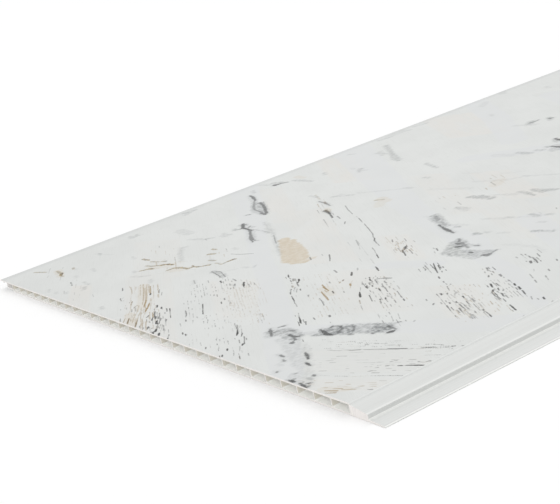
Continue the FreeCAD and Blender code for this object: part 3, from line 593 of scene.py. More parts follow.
# Dashes of worn grain that stand out one by one. The second number is the share of gold in the ink.
DASHES = [
    (0.5, 0, (27.5, 52, 0.25), (29.5, 47, 0.29)),
    (0.6, 0, (31, 45, 0.25), (32, 42.5, 0.49), (34, 39.5, 0.49)),
    (0.55, 0, (34.5, 38.5, 0.33), (38.5, 30.5, 0.41)),
    (0.8, 0, (39.5, 29, 0.41), (41.5, 24.5, 0.57), (43.5, 21, 0.41)),
    (0.45, 0, (44, 20, 0.25), (45, 18, 0.25)),
    (0.9, 0, (46.5, 15.5, 0.37), (48, 13, 0.41), (49.5, 10.5, 0.37)),
    (0.75, 0, (49.6, 17, 0.41), (50.3, 15.5, 0.33)),
    (0.7, 0, (50.8, 13.5, 0.29), (52.5, 9.5, 0.33)),
    (0.85, 0, (52.8, 5, 0.41), (53.6, 3.8, 0.49)),
    (0.8, 0, (54.8, 1.5, 0.41), (55.4, 0.2, 0.41)),
    (0.35, 0, (57.5, 6, 0.33), (58.5, 4.6, 0.25)),
    (0.35, 0.4, (9.8, 34, 0.25), (12, 29, 0.25)),
    (0.5, 0.3, (12.5, 27, 0.29), (15, 21.5, 0.29)),
    (0.35, 0.6, (15.5, 20, 0.25), (19, 14, 0.25)),
    (0.6, 0.35, (19.5, 13, 0.29), (22, 8, 0.33), (25.5, 1, 0.33)),
    (1, 0, (30.6, 10.5, 0.41), (31.6, 8.8, 0.49)),
    (1, 0, (32.4, 7.5, 0.37), (34.4, 3.5, 0.53), (36, 0, 0.41)),
    (0.7, 0, (36.8, 6, 0.41), (37.2, 5, 0.41)),
    (0.7, 0, (28.2, 15.2, 0.41), (29, 14, 0.41)),
    (0.6, 0, (33, 16, 0.25), (33.8, 14.6, 0.29)),
    (0.7, 0, (39.3, 2.6, 0.29), (40, 1.4, 0.29)),
    (0.5, 0, (21.5, 18, 0.29), (22.6, 16.2, 0.29)),
    (0.55, 0, (22.8, 16.8, 0.29), (23.6, 15, 0.29)),
    (0.6, 0, (25, 18, 0.25), (26, 16.6, 0.33)),
    (0.4, 0, (26.8, 18.6, 0.25), (28, 17.5, 0.25)),
    (0.6, 0, (11, 3.5, 0.33), (12, 1.5, 0.41)),
    (0.4, 0.4, (18, 6, 0.29), (19.5, 3, 0.29)),
    (0.35, 0, (38.2, 41.8, 0.49), (39, 40.6, 0.41)),
    (0.4, 0, (40.6, 39, 0.33), (43, 34, 0.29)),
    (0.75, 1, (2, 19, 0.41), (4.5, 14, 0.57)),
    (0.7, 0.8, (1, 16.5, 0.41), (3.2, 13, 0.49)),
    (0.6, 1, (5, 17.5, 0.29), (6.8, 13.5, 0.41)),
    (0.55, 0.9, (6, 13, 0.33), (9, 8, 0.37)),
    (0.45, 0.8, (3, 23, 0.25), (4.5, 20, 0.29)),
    (0.4, 0.9, (9.3, 8, 0.25), (10.5, 6, 0.25)),
    (1, 0, (18.2, 112.5, 0.33), (20, 114.8, 0.61), (22.5, 119, 0.33)),
    (0.8, 0, (22.5, 119, 0.29), (26, 125.5, 0.29)),
    (1, 0, (18.6, 109, 0.25), (20.8, 112, 0.41)),
    (0.65, 0, (20.8, 112, 0.29), (24, 118, 0.25)),
    (1, 0, (12.6, 98.2, 0.41), (14, 100, 0.57)),
    (0.8, 0, (14, 98.5, 0.33), (15.8, 101.5, 0.37), (19.5, 108, 0.29)),
    (0.7, 0, (17.6, 102.5, 0.29), (18.8, 105, 0.29)),
    (1, 0, (6, 100, 0.41), (7.2, 102, 0.49)),
    (0.6, 0, (4, 91, 0.25), (6.8, 95.5, 0.25)),
    (0.6, 0, (8.2, 93, 0.25), (12, 99, 0.25)),
    (0.95, 0, (1, 95.8, 0.41), (2.2, 97.6, 0.45)),
    (0.75, 0, (2.2, 112.8, 0.33), (3.6, 115, 0.41)),
    (0.65, 0, (7.6, 84.2, 0.33), (8.8, 86.8, 0.33)),
    (0.6, 0, (28, 72.5, 0.25), (29.4, 75.2, 0.33)),
    (0.8, 0, (38.4, 91.2, 0.25), (40.4, 95, 0.29)),
    (1, 0, (41, 94.4, 0.49), (42.6, 97, 0.53), (44.2, 100, 0.33), (45.2, 102, 0.33)),
    (0.55, 0, (45.2, 102, 0.25), (48.4, 107.5, 0.25)),
    (0.8, 0, (40.6, 89.4, 0.33), (43.2, 93.5, 0.41)),
    (0.75, 0, (46.4, 90.8, 0.33), (47.6, 93.8, 0.37)),
    (0.75, 0, (51.6, 86.6, 0.66), (52.6, 88.4, 0.57)),
    (0.6, 0, (46.8, 79, 0.25), (47.8, 81, 0.25)),
    (0.5, 0, (53, 115.5, 0.29), (55, 120, 0.29)),
    (0.65, 0, (55, 120.5, 0.29), (58, 126, 0.33)),
    (0.55, 0, (57, 54, 0.29), (59, 58, 0.29)),
    (0.45, 0, (60.2, 61, 0.25), (63.4, 67, 0.25)),
    (0.7, 0, (65, 60, 0.25), (66.4, 63, 0.29)),
    (0.65, 0, (60.4, 49, 0.49), (61.6, 47.6, 0.49)),
    (0.5, 0, (60.2, 51.5, 0.25), (64, 58, 0.25)),
    (0.6, 0, (62.6, 45.6, 0.29), (63.4, 47.4, 0.29)),
    (0.45, 0, (63, 50.5, 0.25), (67.2, 57.5, 0.25)),
    (0.3, 0, (63.6, 42, 0.57), (65, 43, 0.49)),
    (0.85, 1, (64.6, 106.5, 0.41), (66.6, 111.2, 0.57), (68, 115, 0.49), (70.4, 121, 0.33)),
    (0.7, 0.15, (59.4, 102.5, 0.29), (62, 107.8, 0.33), (64.5, 114, 0.25)),
    (0.95, 0.3, (71.4, 112, 0.41), (73, 115.4, 0.45)),
    (0.7, 1, (71, 117, 0.25), (72.4, 121, 0.33)),
    (0.95, 0.6, (72.8, 118.2, 0.41), (74.8, 125.5, 0.53)),
    (0.6, 0, (63.8, 122, 0.41), (65, 124, 0.49)),
    (0.95, 1, (81.4, 112.2, 0.49), (83.2, 115, 0.61)),
    (0.6, 1, (79, 109.2, 0.25), (81.4, 112.2, 0.33)),
    (0.45, 0.8, (83.2, 115, 0.29), (87, 118, 0.25)),
    (0.65, 0.6, (81.6, 121.6, 0.57), (82.8, 122.8, 0.49)),
    (0.75, 0.5, (84, 122.4, 0.49), (85.4, 123.8, 0.49)),
    (0.5, 0.1, (74, 107, 0.33), (75.4, 109.5, 0.33)),
    (0.5, 0.3, (62.8, 77, 0.25), (67, 84.5, 0.25)),
    (0.65, 0.5, (68, 86, 0.33), (70.6, 90.4, 0.37)),
    (1, 0, (73.2, 93, 0.53), (75, 96, 0.61), (77.6, 99.6, 0.33)),
    (0.5, 0, (78.5, 100.5, 0.25), (82, 105, 0.25)),
    (0.85, 0, (72, 82.2, 0.25), (75, 88, 0.33), (76.8, 91.2, 0.33)),
    (0.95, 0, (82, 99.2, 0.33), (83.4, 103, 0.41)),
    (0.7, 0, (83.4, 103, 0.29), (86.4, 110, 0.25)),
    (0.85, 0, (84.6, 99, 0.33), (86, 101.2, 0.41)),
    (0.95, 0, (82.8, 90.6, 0.41), (84.2, 93.8, 0.45)),
    (0.6, 0, (79.6, 93.5, 0.25), (81, 96.4, 0.29)),
    (0.7, 0, (86.6, 93.4, 0.29), (89.2, 98, 0.33)),
    (0.6, 0, (84.5, 107, 0.29), (87.2, 111, 0.29)),
    (1, 0, (89.6, 107.6, 0.41), (91, 110, 0.49)),
    (0.75, 0, (92, 106.6, 0.41), (94.4, 103.8, 0.49)),
    (0.75, 0, (94.4, 103.4, 0.57), (96, 99.4, 0.57)),
    (0.5, 0, (90.4, 112, 0.25), (91.4, 114, 0.25)),
    (0.85, 0, (74.2, 79, 0.33), (75.6, 81.4, 0.37)),
    (1, 0, (76.6, 78.4, 0.45), (77.6, 80, 0.45)),
    (0.75, 0, (72.4, 76, 0.29), (73.6, 78.4, 0.33)),
    (0.7, 0, (74.4, 74.2, 0.25), (76.4, 78, 0.29)),
    (0.7, 0, (78.2, 75.6, 0.25), (79.4, 78.2, 0.29)),
    (0.85, 0, (78.4, 67, 0.33), (80, 70, 0.41)),
    (0.75, 0, (80.6, 71.5, 0.29), (83, 76.8, 0.29), (85.4, 81.6, 0.29)),
    (0.6, 0, (82.2, 56, 0.29), (83.6, 58.6, 0.37)),
    (0.7, 0, (80, 49.4, 0.49), (81.4, 50.6, 0.57)),
    (0.55, 0, (82.2, 46, 0.33), (83.6, 48.6, 0.33)),
    (0.9, 0, (89.8, 55.2, 0.41), (91, 57.4, 0.49)),
    (0.9, 0, (91.4, 53.2, 0.37), (92.4, 54.8, 0.41)),
    (0.45, 0, (92.6, 50, 0.41), (95, 51.4, 0.49)),
    (0.65, 0.1, (95, 56.4, 0.25), (98.4, 62, 0.37)),
    (0.8, 0, (80.4, 40, 0.33), (82, 42.6, 0.37)),
    (0.85, 0, (84, 42.8, 0.37), (85.2, 44.8, 0.41)),
    (0.95, 0, (86, 40.6, 0.33), (87, 42.6, 0.37)),
    (1, 0, (91.4, 42.4, 0.37), (92.6, 44.8, 0.45)),
    (0.9, 0, (79.8, 30, 0.29), (82, 34.6, 0.41)),
    (0.95, 0, (82, 30.6, 0.29), (85.4, 38.6, 0.33)),
    (0.7, 0, (78.4, 30, 0.29), (80.4, 34, 0.29)),
    (0.7, 0, (83, 29.6, 0.25), (87, 39.4, 0.25)),
    (0.75, 0, (86.8, 33.6, 0.29), (89, 38.4, 0.33)),
    (0.75, 0, (90.4, 33.8, 0.29), (92, 38.4, 0.33)),
    (0.6, 0.2, (76.4, 18, 0.25), (79.6, 25, 0.29)),
    (0.85, 0, (80.6, 13, 0.33), (82, 15.6, 0.41)),
    (0.75, 0, (82.4, 16.4, 0.29), (84.8, 23.6, 0.33)),
    (0.85, 0, (84.4, 21.8, 0.41), (85.2, 23.4, 0.41)),
    (0.7, 0, (81.2, 22.8, 0.29), (82.6, 25.6, 0.33)),
    (0.65, 0, (85.6, 27.6, 0.25), (88, 32.4, 0.25)),
    (0.8, 0, (88.4, 8.6, 0.29), (89.4, 11, 0.29)),
    (1, 0, (89.8, 8.6, 0.41), (91.4, 12, 0.45), (93.2, 16, 0.33)),
    (0.35, 0, (85.4, 0, 0.33), (87.4, 1.4, 0.33)),
    (0.75, 0, (95, 20, 0.29), (97, 24, 0.33)),
    (0.75, 0, (96.4, 25, 0.33), (98, 29, 0.41)),
    (0.65, 0, (98.4, 22, 0.29), (100, 26, 0.29)),
    (0.85, 0, (98.8, 29.6, 0.33), (100.4, 33.4, 0.37)),
    (0.9, 0, (100.6, 115.5, 0.41), (102.6, 119.6, 0.53), (104, 123, 0.29)),
    (0.85, 0, (120.4, 119.6, 0.41), (122, 122.4, 0.41), (124, 126, 0.41)),
    (0.65, 0, (123.6, 118, 0.33), (125, 120.6, 0.33)),
    (0.6, 0, (125.2, 121, 0.25), (127.4, 125, 0.29)),
    (1, 0, (109.8, 82.6, 0.29), (112.4, 87, 0.41), (115.4, 91.6, 0.37), (118, 95.4, 0.25)),
    (0.95, 0.15, (112, 83, 0.29), (116.4, 90, 0.37)),
    (0.8, 0.1, (113.8, 84.4, 0.25), (119, 93.8, 0.25)),
    (0.8, 0, (108.6, 80.6, 0.29), (110.4, 83.8, 0.33)),
    (0.7, 0.2, (110.2, 79.4, 0.33), (111.4, 81.2, 0.33)),
    (0.7, 0.1, (112.4, 79, 0.33), (113.6, 81, 0.33)),
    (0.75, 0.2, (114.8, 84, 0.37), (116, 86.2, 0.37)),
    (0.55, 0, (107, 91.4, 0.25), (109.4, 96, 0.29)),
    (0.65, 0, (109, 90.2, 0.41), (110.6, 92.2, 0.41)),
    (0.85, 0, (104, 73.8, 0.41), (105.6, 76.6, 0.41)),
    (0.75, 0, (101, 67, 0.33), (102.2, 69.2, 0.37)),
    (0.7, 0, (99.8, 63.6, 0.29), (100.6, 65.6, 0.29)),
    (0.5, 0, (100.2, 61.4, 0.33), (101, 63, 0.29)),
    (0.75, 0, (113.4, 51.4, 0.45), (115, 53.2, 0.49)),
    (0.6, 0, (116, 51.8, 0.33), (117.2, 54, 0.33)),
    (0.75, 0, (116, 45.8, 0.41), (117.4, 49, 0.49)),
    (0.6, 0, (119, 56, 0.29), (119.8, 59, 0.33)),
    (0.75, 0, (120.6, 60, 0.45), (121.8, 62.2, 0.53)),
    (0.45, 0, (116.6, 57.2, 0.33), (118, 59.2, 0.33)),
    (1, 0, (105.2, 39.8, 0.41), (107.4, 43.4, 0.53)),
    (0.8, 0, (104.2, 41, 0.33), (105.4, 43.4, 0.37)),
    (0.75, 0, (107.4, 38, 0.29), (109, 41.6, 0.33)),
    (1, 0, (101, 34.8, 0.49), (102.8, 36.8, 0.53)),
    (0.9, 0, (103.4, 33.6, 0.41), (105, 36.2, 0.41)),
    (0.75, 0, (103.6, 31, 0.33), (104.6, 32.6, 0.33)),
    (1, 0, (110.2, 30.8, 0.49), (111.6, 33.2, 0.53)),
    (0.7, 0, (109.6, 33.6, 0.29), (110.4, 35.4, 0.29)),
    (0.6, 0, (113, 37.8, 0.33), (114, 39.6, 0.33)),
    (1, 0, (108, 25.2, 0.45), (109.6, 28.4, 0.49)),
    (0.75, 0, (106.6, 25.4, 0.29), (108.4, 29, 0.29)),
    (0.9, 0, (105.8, 21, 0.41), (107, 23.2, 0.41)),
    (0.95, 0, (104.2, 18.2, 0.33), (105.6, 20.8, 0.41)),
    (0.95, 0, (99.8, 27.2, 0.41), (101.2, 29.4, 0.41)),
    (0.95, 0, (103, 6, 0.49), (104.6, 8.4, 0.49)),
    (0.55, 0, (101, 11, 0.29), (103.6, 14.4, 0.33)),
    (0.6, 0, (101.8, 8, 0.29), (102.8, 10, 0.29)),
    (0.4, 0, (102, 0.6, 0.41), (103.4, 1.6, 0.41)),
    (0.55, 0, (116, 24, 0.33), (118, 27.4, 0.41)),
    (0.5, 0, (119.4, 29.6, 0.29), (122.6, 35.4, 0.33)),
    (0.55, 0, (122, 24.4, 0.41), (123.6, 26.6, 0.41)),
    (0.4, 0, (120, 21, 0.29), (121.6, 23.4, 0.25)),
    (0.35, 0, (126, 36, 0.29), (128, 38.4, 0.33)),
    (0.6, 0, (128.4, 29, 0.37), (130.2, 31.8, 0.41)),
    (0.8, 0, (133.2, 45.4, 0.66), (135, 47.8, 0.74)),
    (0.9, 0, (134.4, 42.4, 0.33), (137, 46.4, 0.37)),
    (0.85, 0, (136.8, 46.8, 0.37), (138.6, 49.8, 0.41)),
    (0.7, 0, (138.4, 51.2, 0.37), (140, 54.2, 0.41)),
    (0.65, 0, (141, 47.8, 0.33), (143.6, 52.6, 0.37)),
    (0.4, 0, (136, 57, 0.41), (137, 59.4, 0.41)),
    (0.7, 0, (139.4, 35.4, 0.41), (140.8, 37.4, 0.45)),
    (0.35, 0, (145, 51, 0.29), (148, 57, 0.29)),
    (0.5, 0, (128, 106, 0.29), (129.6, 109, 0.29)),
    (0.7, 0.1, (131, 107.6, 0.41), (133.2, 111.6, 0.45)),
    (0.5, 0.2, (132.4, 112, 0.33), (133.2, 114.2, 0.33)),
    (1, 0, (0.2, 155, 0.53), (2.2, 158.4, 0.57)),
    (1, 0, (1.8, 162.2, 0.57), (4, 165.4, 0.66)),
    (0.95, 0.1, (-0.6, 160, 0.57), (1, 163, 0.74)),
    (0.85, 0, (1.8, 170.6, 0.49), (4, 173.8, 0.53)),
    (0.6, 0.4, (4, 165.4, 0.33), (6.6, 170, 0.29)),
    (1, 0, (7.8, 173, 0.53), (10, 176.8, 0.61)),
    (0.75, 0, (11.4, 169.4, 0.29), (13.6, 173.8, 0.33)),
    (0.95, 0, (6.4, 139.2, 0.33), (7.6, 142, 0.41)),
    (0.85, 0, (6.8, 143.2, 0.37), (8, 145.6, 0.41)),
    (0.55, 0, (1, 147, 0.29), (2.6, 149.6, 0.33)),
    (0.6, 0, (5, 158, 0.25), (7, 163, 0.25)),
    (0.6, 0, (12, 155, 0.25), (14, 159.4, 0.29)),
    (0.7, 0, (16.8, 158.4, 0.41), (18, 161.2, 0.41)),
    (0.5, 0, (17, 152, 0.25), (19.6, 156.6, 0.25)),
    (0.5, 0, (22.4, 146.6, 0.29), (23.6, 149, 0.29)),
    (0.6, 0, (25, 125.6, 0.29), (27, 129, 0.29)),
    (0.75, 0, (21, 166, 0.33), (23, 169.8, 0.41), (25, 174.4, 0.29)),
    (1, 0, (26.4, 158.8, 0.33), (29, 163.6, 0.37)),
    (0.75, 0, (29, 163.6, 0.29), (31.4, 168, 0.33)),
    (1, 0, (31.4, 168, 0.37), (34.6, 173.8, 0.33)),
    (0.85, 0, (38.8, 162, 0.33), (40.4, 165.2, 0.37)),
    (0.75, 0, (42.8, 165.8, 0.37), (44, 168.6, 0.41)),
    (0.6, 0, (40.6, 157, 0.29), (42.6, 160.2, 0.29)),
    (0.95, 0, (57, 194, 0.41), (58.6, 197.8, 0.53)),
    (0.45, 0, (56.8, 183.8, 0.41), (58, 186, 0.41)),
    (0.65, 0, (57.6, 181, 0.49), (59, 183.6, 0.49)),
    (0.65, 0, (62, 187, 0.37), (63.2, 191.2, 0.41)),
    (0.55, 0, (54, 202, 0.25), (56.2, 207.2, 0.29)),
    (0.4, 0.2, (50, 210, 0.41), (53, 217, 0.33)),
    (1, 0, (59, 174.4, 0.49), (62.6, 180.2, 0.66)),
    (0.65, 0, (57.4, 171, 0.25), (59, 174.4, 0.33)),
    (0.55, 0.2, (60, 170, 0.29), (62, 174.4, 0.33)),
    (0.65, 0, (63, 169.8, 0.29), (64.6, 173.2, 0.29)),
    (0.95, 0, (76.6, 159.2, 0.37), (79, 163.6, 0.41)),
    (0.7, 0.2, (75.4, 155.6, 0.29), (76.4, 158, 0.29)),
    (0.65, 0.4, (74.4, 151.4, 0.66), (76.2, 154, 0.66)),
    (1, 0, (75.4, 147.8, 0.53), (77.2, 150.8, 0.61)),
    (0.85, 0, (73.8, 145.8, 0.33), (75.2, 148, 0.33)),
    (0.75, 0.1, (71, 142, 0.37), (73, 146, 0.37)),
    (0.55, 0, (68.2, 143, 0.29), (69.6, 146, 0.29)),
    (0.85, 0, (62, 134.8, 0.37), (63.6, 137.8, 0.41)),
    (0.55, 0, (64, 138, 0.25), (66, 141, 0.29)),
    (0.5, 0, (64.6, 133.5, 0.29), (66.4, 136.4, 0.29)),
    (0.95, 0, (57, 124, 0.33), (59, 128.6, 0.41)),
    (0.75, 0, (59, 128.6, 0.29), (60.8, 132.4, 0.25)),
    (0.85, 0.7, (75, 125, 0.49), (76.6, 129.2, 0.45)),
    (0.5, 0, (79.8, 126.8, 0.49), (80.8, 129.4, 0.41)),
    (0.95, 0.3, (91, 124.8, 0.61), (94.2, 129, 0.53)),
    (0.4, 0, (97, 128, 0.41), (99.4, 131.4, 0.41)),
    (0.6, 0.1, (91, 137, 0.45), (92.6, 142, 0.45)),
    (0.6, 0.2, (98.8, 171.6, 0.49), (101, 176.4, 0.49)),
    (0.45, 0, (109, 222, 0.33), (113.6, 231, 0.41), (118.6, 240, 0.33)),
    (1, 0, (112.8, 131.6, 0.29), (116, 137.6, 0.41)),
    (0.6, 0, (116, 137.6, 0.25), (120, 144.6, 0.25), (123, 151, 0.33)),
    (0.75, 0, (100.8, 157.4, 0.33), (104, 162, 0.41), (107.6, 167.8, 0.45)),
    (0.35, 0, (105, 170, 0.33), (106.6, 173.4, 0.33)),
    (0.55, 0, (126.4, 149, 0.29), (129.4, 156, 0.37), (131.2, 160, 0.53)),
    (0.85, 0, (131.2, 160, 0.49), (134, 163.6, 0.45)),
    (0.6, 0, (134, 163.6, 0.29), (135.6, 167, 0.37), (138.4, 171, 0.41), (140.6, 175.4, 0.29),
     (143.6, 181.4, 0.41), (149.6, 194, 0.29)),
    (0.6, 0, (151, 197.6, 0.29), (155.6, 207.4, 0.41)),
    (0.35, 0, (156, 208.4, 0.25), (158, 213.6, 0.25)),
    (0.5, 0, (160, 219.4, 0.33), (165, 231, 0.41), (170.4, 241.6, 0.37)),
    (0.42, 0, (123, 162.6, 0.41), (128.6, 173, 0.41)),
    (0.3, 0, (118.6, 155.6, 0.25), (122, 161, 0.25)),
    (0.6, 0, (145.8, 207.4, 0.41), (149, 211.6, 0.45)),
    (0.55, 0, (152, 220.6, 0.41), (154.6, 227.4, 0.49)),
    (0.8, 0.1, (151.6, 227.6, 0.49), (153.6, 231.6, 0.66), (158, 241, 0.49)),
    (0.75, 0.4, (158.4, 241.4, 0.49), (160.6, 248, 0.66)),
    (0.95, 0.4, (123, 125, 0.41), (126, 129.4, 0.53)),
    (0.9, 0.4, (126, 128, 0.41), (129, 131.8, 0.49)),
    (1, 0.1, (127.8, 129, 0.45), (130.2, 132.4, 0.57)),
    (0.8, 0.4, (130, 130.4, 0.29), (131.8, 133.8, 0.33)),
    (0.65, 0.2, (133, 146.6, 0.41), (135.4, 150.2, 0.41)),
    (0.55, 0.3, (136, 139, 0.29), (139, 144.4, 0.33)),
    (0.45, 0.4, (137, 133, 0.29), (138.2, 136.2, 0.29)),
    (0.75, 0, (16.4, 298, 0.29), (19, 306.4, 0.41)),
    (0.9, 0, (26, 250, 0.29), (28.2, 254.4, 0.33)),
    (0.4, 0, (78, 307, 0.33), (80, 311, 0.29)),
    (0.4, 0, (98, 283, 0.37), (99.2, 287.4, 0.33)),
    (0.3, 0.3, (12.6, 259, 0.29), (14.6, 265, 0.29)),
    (0.6, 0, (197, 94, 0.41), (198.2, 95.6, 0.41)),
    (0.5, 0.6, (31.3, 252.1, 0.25), (29.1, 244.8, 0.37), (25.7, 236.8, 0.29)),
    (0.65, 1, (36.9, 246.2, 0.29), (32.1, 236.2, 0.33), (27.4, 226.5, 0.37), (23.5, 218.9, 0.33),
     (19.2, 211.2, 0.25)),
    (0.6, 1, (38.3, 244.2, 0.25), (31.3, 230.7, 0.37), (27.8, 223.5, 0.37), (23.9, 216.3, 0.41)),
    (0.95, 0.8, (23.9, 216.3, 0.45), (19.4, 209.1, 0.49), (17.4, 205.9, 0.29)),
    (0.85, 0.8, (37.1, 237.6, 0.29), (33.9, 231, 0.41), (30.5, 224.5, 0.41)),
    (1, 0, (30.5, 224.5, 0.57), (29.3, 222.2, 0.57)),
    (0.5, 1, (27.5, 217.3, 0.25), (22.1, 208.8, 0.37)),
    (1, 0.75, (22.1, 208.8, 0.45), (18.4, 203.4, 0.57), (14.6, 198.4, 0.45)),
    (0.85, 0.5, (19.3, 223.4, 0.33), (15.7, 218.1, 0.41)),
    (0.8, 0.4, (17.3, 213.7, 0.33), (14.3, 211.5, 0.41)),
    (0.55, 0.9, (18, 212.7, 0.25), (13.3, 205, 0.29), (9.3, 199, 0.29), (6.3, 195.5, 0.33),
     (2.3, 188.6, 0.33)),
    (0.5, 1, (16.8, 207.4, 0.25), (12.5, 200.4, 0.29), (8.2, 193.9, 0.29), (5.1, 189.2, 0.41)),
    (0.9, 0.5, (5.9, 190.4, 0.41), (2.6, 184.9, 0.49), (0.1, 180.7, 0.41)),
    (0.9, 0.5, (5.2, 198.3, 0.41), (0.6, 190.7, 0.49)),
    (0.6, 0.9, (4.2, 200.9, 0.33), (0.4, 194.9, 0.37)),
    (0.5, 0.8, (1.9, 201.9, 0.29), (0.3, 199.6, 0.33)),
    (0.4, 0.8, (1.1, 205.5, 0.25), (-0.1, 203.7, 0.29)),
    (0.35, 1, (14, 198.1, 0.25), (9.9, 191.3, 0.25), (6, 185.5, 0.25)),
    (0.35, 1, (27.2, 216.1, 0.25), (21.9, 205.9, 0.25), (16.4, 197, 0.25)),
    (0.35, 0.9, (16.1, 217.9, 0.25), (11.4, 209.8, 0.25), (7, 203.3, 0.25)),
    (0.35, 1, (22.2, 201.8, 0.25), (17.5, 194.1, 0.25), (13.4, 188.6, 0.25)),
    (0.7, 0.2, (36.6, 225.6, 0.29), (32.8, 219.1, 0.37)),
    (0.6, 0.3, (34.8, 219.2, 0.25), (31.9, 214.1, 0.33)),
    (0.6, 0, (27.2, 251.9, 0.41), (25.5, 248.8, 0.41)),
    (0.75, 0, (18.8, 237.1, 0.33), (17.4, 234.5, 0.37)),
    (1, 0, (22.6, 200.7, 0.49), (20.7, 197.3, 0.57)),
    (0.95, 0, (22.2, 195, 0.49), (20.7, 192.3, 0.49)),
    (0.85, 0.1, (17, 192.1, 0.37), (14.3, 187.8, 0.41)),
    (0.95, 0, (12.6, 190.5, 0.33), (10, 188.1, 0.45)),
    (0.95, 0.1, (12.1, 184.8, 0.37), (9.3, 180.8, 0.49)),
    (0.9, 0, (13.2, 183.6, 0.37), (10.6, 179.3, 0.41)),
    (0.8, 0.3, (14.7, 183, 0.33), (11.9, 179.2, 0.37)),
    (1, 0, (10.6, 177.2, 0.45), (8, 172.9, 0.49)),
    (0.8, 0, (11.1, 175.3, 0.33), (8.7, 171.5, 0.37)),
    (0.7, 0, (13.2, 178.2, 0.29), (11.2, 174.9, 0.33)),
    (0.95, 0, (3.9, 173.3, 0.37), (2, 171, 0.45)),
    (0.6, 0.2, (4.4, 170.2, 0.29), (2.9, 168.3, 0.33)),
    (1, 0, (4.1, 165.3, 0.49), (2.5, 162.8, 0.57)),
    (0.95, 0, (2.1, 163.9, 0.41), (0.3, 161.3, 0.49)),
    (1, 0, (2.1, 158.3, 0.49), (0.1, 155.2, 0.61)),
    (1, 0, (0.5, 146.5, 0.49), (-0.9, 144.7, 0.57)),
    (0.5, 0, (1.2, 165.3, 0.33), (0.2, 164.2, 0.33)),
    (0.65, 0, (13.9, 173.5, 0.37), (12.6, 171.4, 0.41)),
    (0.6, 0, (6.5, 162.3, 0.33), (5, 159.7, 0.33)),
    (0.6, 0, (11.6, 208.4, 0.41), (10.7, 206.7, 0.41)),
    (0.6, 0, (2.4, 180.2, 0.37), (0.9, 177.5, 0.41)),
    (0.45, 0, (2.2, 175.7, 0.33), (1, 173.5, 0.33)),
    (0.5, 0, (2.3, 149, 0.37), (1.4, 147.7, 0.33)),
    (0.5, 0.5, (8.5, 171.9, 0.25), (5, 166, 0.25)),
    (0.5, 0.3, (8.7, 169.9, 0.25), (4.8, 163.6, 0.25)),
    (0.4, 0.1, (9.5, 169.4, 0.25), (5, 161.8, 0.25)),
    (0.3, 0.5, (14.5, 221.9, 0.25), (11.4, 216.4, 0.25)),
    (0.4, 0.2, (20.4, 236.6, 0.25), (18.9, 235.2, 0.25)),
    (0.4, 0.3, (18.3, 231.4, 0.25), (16.7, 230.1, 0.29)),
    (0.55, 0.1, (87.9, 236.9, 0.33), (89.5, 229.5, 0.41), (91.6, 225, 0.49), (93.5, 221.1, 0.33)),
    (0.7, 0, (65.5, 219.8, 0.29), (64.3, 213.2, 0.29), (62.1, 203.3, 0.33)),
    (0.7, 0, (66.8, 217.5, 0.29), (67.3, 212.5, 0.41)),
    (0.6, 0, (67.3, 212.5, 0.29), (63.5, 201, 0.33)),
]

